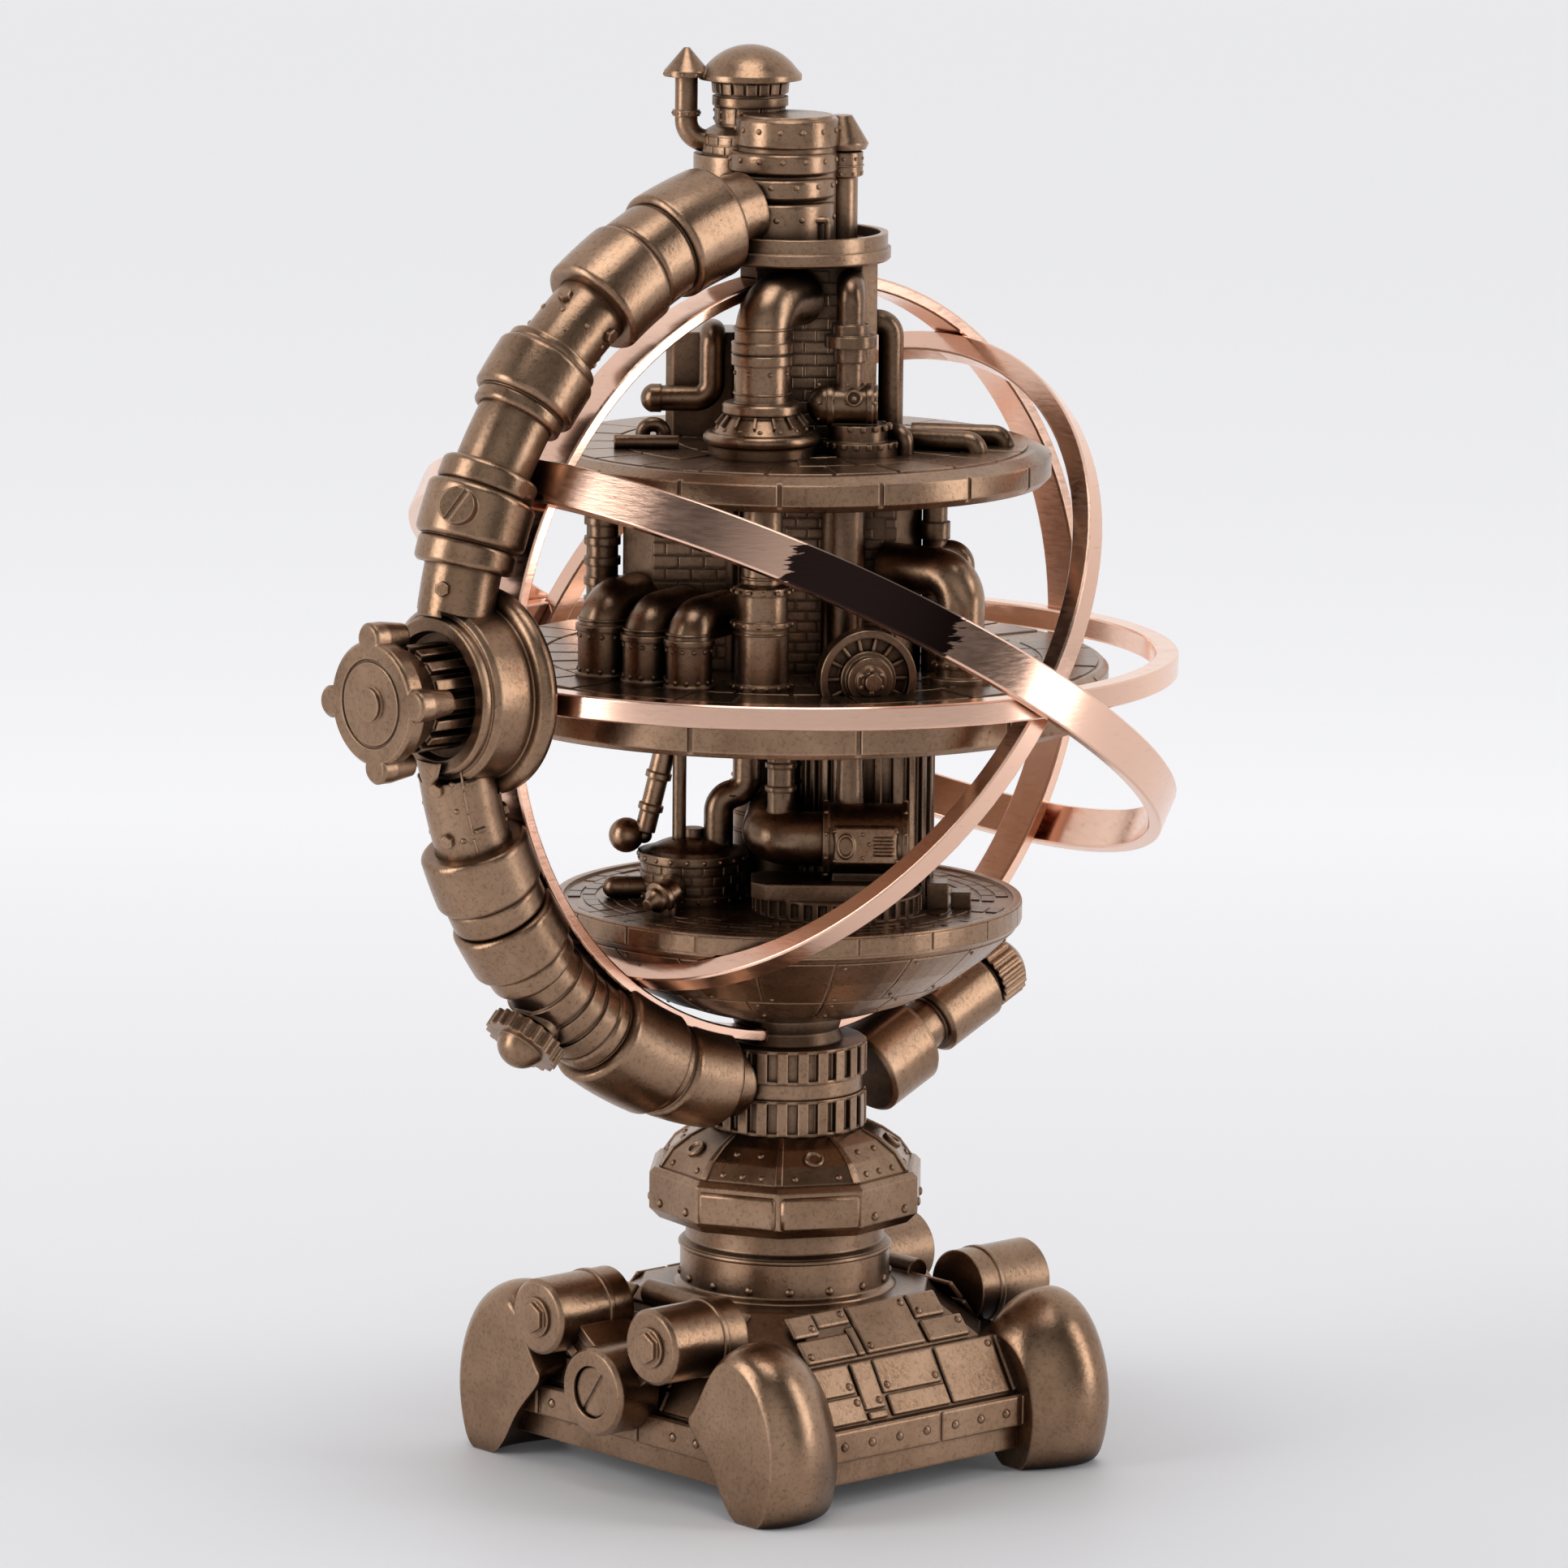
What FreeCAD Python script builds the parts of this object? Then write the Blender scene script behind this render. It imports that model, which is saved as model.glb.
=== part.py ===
import FreeCAD, Part
import math
import os
from FreeCAD import Placement, Rotation, Vector

# ---------------------------------------------------------------------------
# Ring-cage table sculpture on a square stand: a small machine city inside a
# cage of four soldered copper rings, held by a C-shaped pipe arm with a hub
# and hand wheel, on a gear stem that turns on a four-footed base.
# Millimetres, +Z up.  Origin: centre of the stand, on the level of the soles.
# The hub and the C-shaped arm lie in the XZ plane, the hub towards -X.
# ---------------------------------------------------------------------------

# --- running and seating clearances
SEAT = 0.05
SLOT_CLEARANCE = 0.15
RUNNING_RADIAL = 0.06
RUNNING_FACE = 0.2
SWEEP_CLEARANCE = 0.5

# --- stand: plinth and housing
PLINTH_HALF = 41.5
PLINTH_Z0 = 4.5
STRIP_HALF = 43.0
FOOTING_H = 5.0
STRIP_H = 6.5
STRIP_Z0 = PLINTH_Z0 + FOOTING_H
STRIP_Z1 = STRIP_Z0 + STRIP_H
LOWER_SLOPE_HALF0 = 41.0
LOWER_SLOPE_HALF1 = 34.5
LOWER_SLOPE_H = 11.0
LEDGE_Z = STRIP_Z1 + LOWER_SLOPE_H
UPPER_SLOPE_HALF0 = 33.0
UPPER_SLOPE_HALF1 = 25.0
UPPER_SLOPE_H = 9.0
HOUSING_TOP_Z = LEDGE_Z + UPPER_SLOPE_H
CORNER_CUT_LOWER = 3.0
CORNER_CUT_UPPER = 9.0

# --- feet: a flat outer face, a bulged body and a narrower heel; sections by x
FOOT_FACE = [(23.4, 19.0), (27.6, 25.6), (33.2, 31.8), (40.0, 30.2), (45.2, 24.0), (47.8, 14.4),
             (46.8, 5.2), (44.2, 0.3), (40.6, -0.7), (37.0, 0.3), (31.6, 7.2), (26.6, 13.6)]
FOOT_SECTIONS = [(27.0, 0.0, 0.0, 0.84), (33.0, 2.8, 2.6, 0.98), (38.5, 4.0, 3.6, 1.0), (43.0, 3.2, 3.0,
    1.0),
                 (45.6, 1.4, 1.4, 1.0), (46.5, 0.0, 0.0, 1.0)]
FOOT_CENTRE_Y = 37.0
FOOT_WIDTH = 24.4
FOOT_HEIGHT = 32.0

# --- drums, links and fasteners of the two side mechanisms
DRUM_OVERHANG = 9.0
DRUM_FACE_X = STRIP_HALF + DRUM_OVERHANG
DRUM_BACK_X = 32.5
DRUM_Y = 17.5
DRUM_Z = HOUSING_TOP_Z - 3.0
DRUM_R = 7.8
DRUM_SEAM_R = 8.1
DRUM_SEAM_W = 1.2
DRUM_SEAM_X = 37.5
CENTRE_DRUM_FACE_X = STRIP_HALF + 9.4
CENTRE_DRUM_BACK_X = 42.0
CENTRE_DRUM_Z = DRUM_Z - 12.4
CENTRE_DRUM_R = 9.1
CENTRE_RECESS_R = 5.4
CENTRE_RECESS_DEPTH = 1.6
SLOT_SCREW_R = 5.0
SLOT_SCREW_PROUD = 0.7
SLOT_SCREW_CUT = 0.9
HEX_NUT_R = 3.2
HEX_NUT_H = 1.7
NUT_WASHER_R = 4.1
NUT_WASHER_H = 0.6
DRUM_EDGE = 0.8
LINK_WIDTH = 7.0
LINK_X0 = 34.0
LINK_X1 = 47.0
BARREL_R = 2.6
BARREL_HALF = 10.5
BARREL_X = 27.5

# --- neck, ten-sided collar and sector dome
SIDES = 10
NECK_FOOT_R = 23.0
NECK_FOOT_H = 1.0
NECK_R = 21.5
NECK_H = 9.0
NECK_STEP_Z = HOUSING_TOP_Z + NECK_H
NECK_STEP_R = 20.4
COLLAR_R = 28.8
WAIST_H = 5.7
COLLAR_H = 10.7
COLLAR_Z0 = NECK_STEP_Z + WAIST_H
COLLAR_Z1 = COLLAR_Z0 + COLLAR_H
COLLAR_BEVEL = 2.2
COLLAR_TURN = 9.0
DOME_R0 = 26.6
DOME_R1 = 24.2
DOME_R2 = 20.4
DOME_R3 = 16.6
DOME_Z1 = COLLAR_Z1 + 3.5
DOME_Z2 = COLLAR_Z1 + 6.2
DOME_TOP_Z = COLLAR_Z1 + 8.0

# --- gear stem
TEETH = 24
GEAR_R = 16.4
GEAR_ROOT_R = 15.0
GEAR_PLATE_R = 15.9
GEAR_PLATE_H = 0.7
TOOTH_W = 2.1
LOWER_GEAR_Z0 = DOME_TOP_Z
LOWER_GEAR_H = 7.5
LOWER_GEAR_Z1 = LOWER_GEAR_Z0 + LOWER_GEAR_H
STEM_COLLAR_H = 3.3
STEM_COLLAR_Z1 = LOWER_GEAR_Z1 + STEM_COLLAR_H
STEM_COLLAR_R = 15.6
UPPER_GEAR_H = 7.0
UPPER_GEAR_Z1 = STEM_COLLAR_Z1 + UPPER_GEAR_H
TONGUE_WIDTH = 9.0
SWIVEL_PIN_R = 5.0
SWIVEL_PIN_Z0 = COLLAR_Z1 - 3.4
SWIVEL_PIN_Z1 = UPPER_GEAR_Z1 - 1.2
STEM_NECK_R = 11.5
STEM_NECK_WAIST_R = 10.6

# --- ring cage: outer radius, radial thickness, width across, tilt about Y
RING_SEAT_DEPTH = 0.2
RING_BEVEL = 0.35
MERIDIAN_R = 78.6
CAGE_Z = UPPER_GEAR_Z1 + MERIDIAN_R + RING_SEAT_DEPTH
MERIDIAN_T = 2.6
MERIDIAN_W = 9.0
RING_GAP = 0.1
LEANING_R = MERIDIAN_R - MERIDIAN_T - RING_GAP
LEANING_T = 4.5
LEANING_W = 4.6
LEANING_TILT = -54.5
SOLDER_GAP = 1.6
WIDE_T = 2.8
WIDE_R = MERIDIAN_R + SOLDER_GAP + WIDE_T
WIDE_W = 8.8
WIDE_TILT = 31.0
EQUATOR_R = MERIDIAN_R
EQUATOR_T = 4.7
EQUATOR_W = 4.7
PAD_R = 2.3

# --- C-shaped arm, angles in degrees from -X, upwards positive
ARM_OUTSET = 11.4
ARM_RISE = 3.0
ARM_R = MERIDIAN_R + ARM_OUTSET
ARM_Z = CAGE_Z + ARM_RISE
ARM_PIPE_R = 7.7
ARM_TOP_ANGLE = 81.0
ARM_BOTTOM_ANGLE = -81.5
ARM_EDGE = 1.3
ARM_EDGE_SHARE = 0.3
TOP_COLLAR = [(52.9, 61.2, 10.9), (61.2, 66.6, 10.2), (66.6, 75.6, 11.4)]
TOP_SLEEVE = (44.6, 52.9, 8.7)
UPPER_COLLAR = [(34.9, 36.8, 9.2), (36.8, 43.4, 10.6), (43.4, 44.6, 9.7)]
SCREW_COLLAR = [(14.8, 18.1, 10.0), (18.1, 24.6, 11.0), (24.6, 27.7, 9.9)]
HUB_SLEEVE = (8.6, 14.8, 8.3)
LOWER_SLEEVE = (-20.8, -8.6, 8.5)
LOWER_COLLAR_A = [(-27.8, -20.8, 11.0), (-31.4, -27.8, 9.9)]
LOWER_COLLAR_B = [(-37.9, -31.4, 10.8), (-41.0, -37.9, 9.4)]
RIB_SLEEVE_R = 8.9
RIB_ROOT_R = 8.2
RIBBED_SLEEVE = [(-43.6, -41.0, RIB_ROOT_R), (-46.4, -43.6, RIB_SLEEVE_R), (-47.2, -46.4, RIB_ROOT_R),
                 (-49.4, -47.2, RIB_SLEEVE_R), (-50.2, -49.4, RIB_ROOT_R), (-52.6, -50.2, RIB_SLEEVE_R)]
ELBOW_COLLAR = [(-55.0, -52.6, 9.4), (-66.4, -55.0, 11.2), (-68.0, -66.4, 9.6), (-77.0, -68.0, 10.4)]
BOSS_ANGLE = 21.4
BOSS_TURN = 60.0
BOSS_R = 3.7
BOSS_H = 2.2
BOSS_SLOT = 1.0

# --- hub at the middle of the arm, turned about an axis along X
HUB_Z = ARM_Z - 1.6
HUB_BACK_X = ARM_R - 11.0
HUB_FLANGE_R = 20.8
HUB_FLANGE_W = 4.4
HUB_DRUM_R = 17.6
HUB_DRUM_FRONT_X = HUB_BACK_X + 13.6
HUB_STEP_R = 15.9
HUB_STEP_FRONT_X = HUB_DRUM_FRONT_X + 2.0
HUB_RECESS_R = 12.9
HUB_RECESS_DEPTH = 2.6
HUB_BORE_R = 3.0
HUB_BORE_DEPTH = 9.0

# --- hand wheel and pinion on one shaft
PINION_R = 10.6
PINION_ROOT_R = 8.7
PINION_TEETH = 16
PINION_TOOTH_W = 2.0
PINION_BACK_X = HUB_STEP_FRONT_X - 2.2
PINION_FRONT_X = PINION_BACK_X + 9.2
WHEEL_BACK_R = 9.6
WHEEL_R = 12.3
WHEEL_FACE_X = PINION_FRONT_X + 8.8
WHEEL_RIM_W = 3.4
LOBE_R = 3.2
LOBE_BACK_R = 2.4
LOBE_CENTRE_R = 12.7
LOBES = 4
WHEEL_GROOVE_R = 8.2
WHEEL_GROOVE_W = 0.7
WHEEL_GROOVE_DEPTH = 0.6
BUTTON_R = 3.3
BUTTON_H = 0.9

# --- thumbscrew on the lower left of the arm
THUMB_ANGLE = -46.2
THUMB_SEAT_R = ARM_R + RIB_SLEEVE_R - 0.2
THUMB_DISC_R = 7.4
THUMB_DISC_H = 3.6
THUMB_NECK_R = 4.2
THUMB_NECK_H = 1.2
THUMB_DOME_R = 5.0
THUMB_DOME_H = 4.2
THUMB_KNURLS = 18
THUMB_KNURL_R = 0.75
THUMB_SHANK_R = 2.0
THUMB_SHANK_L = 5.0

# --- short right arm, a straight run of turned parts rising outwards
SHORT_ARM_FOOT = (16.0, LOWER_GEAR_Z1 - 1.9)
SHORT_ARM_RISE = 24.3
SHORT_DRUM_R = 9.7
SHORT_DRUM = (5.2, 18.2)
SHORT_RIM_R = 9.1
SHORT_RIM = (18.2, 19.4)
SHORT_NECK_R = 5.5
SHORT_NECK = (19.4, 25.6)
SHORT_BARREL_R = 7.6
SHORT_BARREL = (25.6, 41.0)
SHORT_EDGE = 0.8
KNOB_START = 41.2
KNOB_NECK_R = 4.8
KNOB_NECK_H = 1.3
KNOB_R = 6.3
KNOB_L = 6.6
KNOB_CAP_H = 3.0
KNOB_KNURLS = 22
KNOB_KNURL_R = 0.55
KNOB_SHANK_R = 2.0
KNOB_SHANK_L = 6.0

# --- bowl and its deck
BOWL_R = 47.5


BOWL_FOOT_R = 12.0
STEM_NECK_H = 5.2
BOWL_FOOT_Z = UPPER_GEAR_Z1 + STEM_NECK_H
BOWL_TOP_Z = BOWL_FOOT_Z + 23.8
BOWL_BAND_Z = BOWL_TOP_Z - 4.4
BOWL_FLANK = (33.0, BOWL_FOOT_Z + 7.8)
BOWL_LIP_W = 1.6
BOWL_LIP_H = 0.6

# --- middle deck
DECK_R = 64.5
DECK_H = 10.6
DECK_Z0 = CAGE_Z - DECK_H
DECK_TOP_Z = CAGE_Z
DECK_BEVEL = 1.2
DECK_SEAMS = 12
DECK_SEAM_W = 1.0
DECK_SEAM_DEPTH = 0.7

# --- upper platform
PLATFORM_R = 52.3
PLATFORM_H = 7.0
PLATFORM_Z0 = DECK_TOP_Z + 36.6
PLATFORM_TOP_Z = PLATFORM_Z0 + PLATFORM_H
PLATFORM_BEVEL_W = 3.0
PLATFORM_BEVEL_H = 1.5
PLATFORM_SEAMS = 16
PLATFORM_SEAM_W = 0.9
PLATFORM_SEAM_DEPTH = 0.7

# --- cap, turrets and towers at the top
TRAY_R = 19.3
TRAY_DROP = 11.8
TRAY_Z0 = ARM_Z + ARM_R - TRAY_DROP
TRAY_STEP_Z = TRAY_Z0 + 2.6
TRAY_WALL_Z = TRAY_Z0 + 5.6
TRAY_WALL_R = 18.7
TRAY_WALL_T = 1.5
TRAY_FLOOR_Z = TRAY_Z0 + 3.2
TURRET_BANDS = [(-0.3, 8.9, 11.9, -4.0), (9.3, 13.7, 11.6, -3.6), (14.1, 18.7, 10.9, -2.6), (19.1, 25.4,
    10.4, -1.8)]
TURRET_CORE_R = 9.9
TURRET_EDGE = 0.9
TURRET_TOP_LIP = 0.5
ROOF_R = 10.4
ROOF_TOP_Z = TRAY_Z0 + 42.2
ROOF_LIP_H = 1.1
ROOF_SHOULDER_R = 9.2
ROOF_SHOULDER_H = 1.3
CHIMNEY_R = 2.3
CHIMNEY_ELBOW_Z = TRAY_Z0 + 20.8
CHIMNEY_TOP_Z = TRAY_Z0 + 35.8
CHIMNEY_FALL = 2.8
CHIMNEY_HAT_R = 4.6
CHIMNEY_HAT_H = 5.8
CHIMNEY_HAT_TIP_R = 0.6
CHIMNEY_COLLAR_R = 2.8
CHIMNEY_COLLAR_H = 1.2
CHIMNEY_COLLAR_Z = CHIMNEY_ELBOW_Z + 7.0
SMALL_TURRET_R = 3.3
SMALL_BAND = (TRAY_FLOOR_Z + 12.8, TRAY_FLOOR_Z + 18.0, 4.3)
SMALL_TURRET_TOP_Z = TRAY_FLOOR_Z + 18.6
SMALL_ROOF_R = 5.4
SMALL_ROOF_TOP_R = 2.0
SMALL_EAVE_H = 1.2
SMALL_ROOF_H = 6.8

# --- machines: laid out facing the front corner, u across and v backwards
FRONT_TURN = -42.1
MACHINE_EDGE = 0.5

# bowl deck
BOILER_UV = (-19.6, -0.8)
BOILER_R = 10.4
BOILER_RING_R = 11.2
BOILER_RING_H = 1.8
BOILER_SHOULDER_Z = BOWL_TOP_Z + 9.8
BOILER_LID_R = 9.0
BOILER_TOP_Z = BOWL_TOP_Z + 14.4
BOILER_KNOB_R = 2.2
BOILER_KNOB_H = 1.6
BOILER_STACK_R = 1.4
BOILER_STACK_UV = (-22.4, -1.6)
RIBBED_UV = (16.0, 5.0)
RIBBED_R = 12.4
RIB_COUNT = 22
RIB_PROUD = 1.2
RIB_W = 1.4
SPINE_UV = (-2.5, 12.5)
SPINE_R = 9.2
FLUTED_UV = (9.8, -12.5)
FLUTED_R = 17.3
FLUTED_H = 4.2
FLUTE_R = 0.95
FLUTE_COUNT = 36
SLAB_U = (-7.6, 22.0)
SLAB_V = (-26.5, -10.5)
SLAB_H = 3.2
SLAB_CORNER = 3.0
CONDENSER_UV = (6.8, -17.2)
CONDENSER_L = 17.2
CONDENSER_R = 7.4
CONDENSER_RING_R = 7.9
CONDENSER_RING_W = 1.2
CONDENSER_GAP = 0.4
TAPER_UV = (12.1, -15.2)
TAPER_R = 3.0
TAPER_TOP_R = 2.4
EXHAUST_U = -4.6
EXHAUST_R = 5.5
EXHAUST_BEND = 6.2
EXHAUST_END = (-2.6, 6.0)
EXHAUST_RISE = 3.0
RINGED_UV = (-1.8, -15.4)
RINGED_R = 2.7
RINGED_RING_R = 3.2
RINGED_RINGS = 3
RINGED_RING_H = 1.0
FEED_R = 3.0
FEED_BEND = 3.6
FEED_U = (-14.4, -8.6)
FEED_V = -1.4
FEED_Z = DECK_Z0 - 17.6
FRONT_PIPE_R = 2.7
FRONT_PIPE_UV = (-24.8, -20.4)
FRONT_PIPE_RISE = 3.9
CAPSULE_UV = (-35.6, -3.0)
CAPSULE_R = 2.3
CAPSULE_L = 12.0
BIN_UV = [(28.0, -12.0, 4.4, 5.8, 5.4), (33.0, -11.0, 4.0, 5.0, 3.4)]
LEVER_ROD_R = 1.25
LEVER_KNOB_R = 1.7
LEVER_DROP = 8.0
LEVER_TOP_UV = (-25.2, 1.0)
LEVER_LOW_U = -29.6
LEVER_Z = DECK_Z0 - 26.8
LEVER_BALL_U = -33.2
LEVER_BALL_R = 3.0

# middle deck
TANKS = [(-37.4, -29.6, 5.2, 19.6), (-28.6, -37.2, 4.9, 18.0), (-20.2, -44.0, 4.6, 18.2)]
TANK_RUN = (7.0, 13.0)
TANK_RING_PROUD = 0.5
TANK_RING_H = 1.2
TANK_BEND_GAP = 0.3
COLUMN_UV = (-5.9, -42.4)
COLUMN_R = 5.4
COLUMN_FLANGE_R = 6.0
COLUMN_FLANGE_H = 1.3
COLUMN_WAIST_Z = DECK_TOP_Z + 12.6
COLUMN_SHOULDER_Z = DECK_TOP_Z + 19.2
COLUMN_NECK_R = 3.9
FLYWHEEL_UV = (14.4, -46.2)
FLYWHEEL_Z = DECK_TOP_Z + 3.4
FLYWHEEL_R = 9.8
FLYWHEEL_RIM_T = 1.5
FLYWHEEL_W = 4.0
FLYWHEEL_WEB_W = 2.0
FLYWHEEL_TURN = 14.0
FLYWHEEL_BELLS = [(5.6, 1.8), (4.6, 3.6), (3.0, 4.4), (1.7, 6.2)]
HALL_U = (-13.0, 26.0)
HALL_V = (-21.5, 17.0)
HALL_CORNER = 5.0
WING_U = (-34.0, -6.0)
WING_V = (-20.0, 4.0)
WING_CORNER = 6.0
ARCH_U = (-28.0, -22.4, -16.8)
ARCH_R = 9.0
ARCH_T = 2.4
ARCH_W = 2.6
STACK_UV = (10.2, -26.6)
STACK_R = 4.4
BELLOWS_UV = (-38.2, -12.0)
BELLOWS_R = 3.2
BELLOWS_RING_R = 3.7
BELLOWS_RINGS = 8
ELBOW_UV = (33.6, -31.6)
ELBOW_R = 4.9
ELBOW_SEAM_R = 5.3
ELBOW_SEAM_W = 1.0
ELBOW_SEAM_RISES = (3.4, 9.6)
ELBOW_Z = DECK_TOP_Z + 21.9
ELBOW_BEND = 5.8
ELBOW_END_UV = (19.0, -21.6)
ELBOW_FLANGE_R = 6.3
ELBOW_FLANGE_H = 1.4
SIDE_PIPE_UV = (28.6, -17.0)
SIDE_PIPE_R = 2.5
SIDE_COLLAR_R = 3.1
SIDE_COLLAR_Z = (PLATFORM_Z0 - 9.6, PLATFORM_Z0 - 6.2)
DROP_PIPE_U = 34.4
DROP_PIPE_R = 2.3
DROP_PIPE_Z = PLATFORM_Z0 - 12.2

# upper platform
HOUSE_U = (-11.0, 16.6)
HOUSE_V = (-7.4, 15.0)
HOUSE_CORNER = 3.0
ANNEX_U = (-26.0, -11.0)
ANNEX_V = (8.0, 21.0)
ANNEX_TOP_Z = PLATFORM_TOP_Z + 21.4
FUNNEL_UV = (-6.3, -18.6)
FUNNEL_DRUM_R = 10.7
FUNNEL_DRUM_H = 2.4
FUNNEL_TORUS_R = 1.4
FUNNEL_TORUS_MID_R = 10.4
FUNNEL_CONE_Z = PLATFORM_TOP_Z + 8.3
FUNNEL_CONE_R = 7.2
FUNNEL_COLLAR_R = 8.0
FUNNEL_COLLAR_Z = PLATFORM_TOP_Z + 10.8
FUNNEL_SHAFT_R = 5.7
FUNNEL_BEND_Z = TRAY_Z0 - 7.0
FUNNEL_BEND = 7.0
FUNNEL_END_UV = (1.0, -7.4)
FUNNEL_BAND_R = 6.3
FUNNEL_BANDS = [(18.4, 20.4), (20.9, 22.9)]
LEFT_PIPE_UV = (-16.6, 2.6)
LEFT_PIPE_R = 2.6
LEFT_PIPE_Z = (PLATFORM_TOP_Z + 8.6, PLATFORM_TOP_Z + 21.6)
LEFT_PIPE_BACK_V = 8.0
LEFT_PIPE_END_U = -26.8
LEFT_CAP_R = 2.9
LEFT_CAP_L = 4.2
HOOP_U = (-30.4, -26.2)
HOOP_V = -3.6
HOOP_R = 1.5
HOOP_Z = PLATFORM_TOP_Z + 4.0
DECK_PIPE = (-36.0, -23.0, -12.0)
DECK_PIPE_R = 1.5
RIGHT_PIPE_UV = (19.6, 5.4)
RIGHT_PIPE_R = 2.55
RIGHT_PIPE_Z = TRAY_Z0 - 13.4
RIGHT_PIPE_END_U = 16.6
VALVE_UV = (13.6, -16.4)
VALVE_STEP_R = (7.3, 5.9)
VALVE_STEP_H = (3.0, 3.4)
VALVE_BODY_U = (2.6, 16.8)
VALVE_BODY_R = 4.1
VALVE_BAND_R = 4.5
VALVE_BAND_W = 1.2
VALVE_NECK_U = 11.2
VALVE_FLANGES = [(18.8, 21.8, 3.4), (21.8, 24.2, 5.2), (24.2, 26.4, 3.8)]
VALVE_PIPE_R = 2.8
VALVE_PIPE_Z = TRAY_Z0 - 4.0
SMALL_ELBOW_R = 1.8
SMALL_ELBOW_UV = (22.4, -15.6)
SMALL_ELBOW_Z = PLATFORM_TOP_Z + 4.2
LYING_R = 2.1
LYING_PIPES = [(23.0, -8.0, 37.0, -12.4), (24.0, 1.0, 42.6, -2.4)]
LYING_RISE = 2.3

# top of the cap tray

TOWER_UV = (-9.4, 9.2)
TOWER_LOWER_R = 9.8
TOWER_LOWER_TOP_Z = TRAY_Z0 + 24.4
TOWER_FLANGE = (TRAY_Z0 + 16.2, TRAY_Z0 + 20.2, 11.4)
TOWER_R = 7.0
TOWER_RING = (TRAY_Z0 + 30.0, TRAY_Z0 + 31.8, 7.7)
ROOF_Z0 = TRAY_Z0 + 35.2
CORBEL_R = 7.4
CHIMNEY_U = -22.3
CHIMNEY_V = 7.6
SMALL_UV = (9.2, 4.4)


# ---------------------------------------------------------------------------
# helpers
# ---------------------------------------------------------------------------

def polar(radius, degrees):
    """A point on a circle round Z, as x and y."""
    angle = math.radians(degrees)
    return radius * math.cos(angle), radius * math.sin(angle)


def fused(shapes):
    """One solid from solids that touch or overlap."""
    return shapes[0].multiFuse(shapes[1:]).removeSplitter()


def group(shapes):
    """Separate solids kept together in one node."""
    return Part.makeCompound(shapes)


def disc(radius, z0, z1, x=0.0, y=0.0):
    """An upright round solid."""
    return Part.makeCylinder(radius, z1 - z0, Vector(x, y, z0))


def block(x0, x1, y0, y1, z0, z1):
    """A box between two corners."""
    return Part.makeBox(x1 - x0, y1 - y0, z1 - z0, Vector(x0, y0, z0))


def profile_wire(points):
    """A closed wire in XZ from (r, z) corners; (mr, mz, r, z) is an arc through its middle."""
    edges = []
    start = Vector(points[0][0], 0, points[0][1])
    here = start
    for point in points[1:] + [points[0]]:
        there = Vector(point[-2], 0, point[-1])
        if len(point) == 4:
            edges.append(Part.Arc(here, Vector(point[0], 0, point[1]), there).toShape())
        elif (there - here).Length > 1e-6:
            edges.append(Part.makeLine(here, there))
        here = there
    return Part.Wire(edges)


def turned(points, x=0.0, y=0.0):
    """A solid turned about an upright axis from a closed (r, z) outline."""
    solid = Part.Face(profile_wire(points)).revolve(Vector(0, 0, 0), Vector(0, 0, 1), 360)
    solid.translate(Vector(x, y, 0))
    return solid


def dome(radius, z0, z1):
    """The arc of a spherical cap from (radius, z0) to its top on the axis."""
    height = z1 - z0
    sphere = (radius * radius + height * height) / (2 * height)
    half = math.atan2(radius, sphere - height) / 2
    return sphere * math.sin(half), z1 - sphere + sphere * math.cos(half), 0, z1


def prism(sides, radius, z, turn=0.0):
    """A regular polygon wire at height z, by its corner radius."""
    corners = [polar(radius, turn + 360.0 * i / sides) for i in range(sides + 1)]
    return Part.makePolygon([Vector(px, py, z) for px, py in corners])


def polygon_stack(sides, levels, turn=0.0):
    """A faceted solid through regular polygons at (radius, z) levels."""
    wires = [prism(sides, radius, z, turn) for radius, z in levels]
    return Part.makeLoft(wires, True, True)


def cut_square(half, corner, z):
    """A square wire with its corners cut off."""
    inner = half - corner
    xy = [(inner, -half), (half, -inner), (half, inner), (inner, half),
          (-inner, half), (-half, inner), (-half, -inner), (-inner, -half), (inner, -half)]
    return Part.makePolygon([Vector(px, py, z) for px, py in xy])


def frustum(half0, half1, corner0, corner1, z0, z1):
    """A square frustum with cut corners."""
    return Part.makeLoft([cut_square(half0, corner0, z0), cut_square(half1, corner1, z1)], True, True)


def along_x(shape, z=0.0):
    """Lay a solid turned about Z down so that its +Z points to -X, at height z."""
    laid = shape.copy()
    laid.Placement = Placement(Vector(0, 0, z), Rotation(Vector(0, 1, 0), -90)).multiply(laid.Placement)
    return laid


def spun(shape, degrees):
    """A copy turned about the Z axis."""
    turned_copy = shape.copy()
    turned_copy.rotate(Vector(0, 0, 0), Vector(0, 0, 1), degrees)
    return turned_copy


def around(shape, count):
    """Copies spaced evenly about the Z axis."""
    return [spun(shape, 360.0 * i / count) for i in range(count)]


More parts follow.
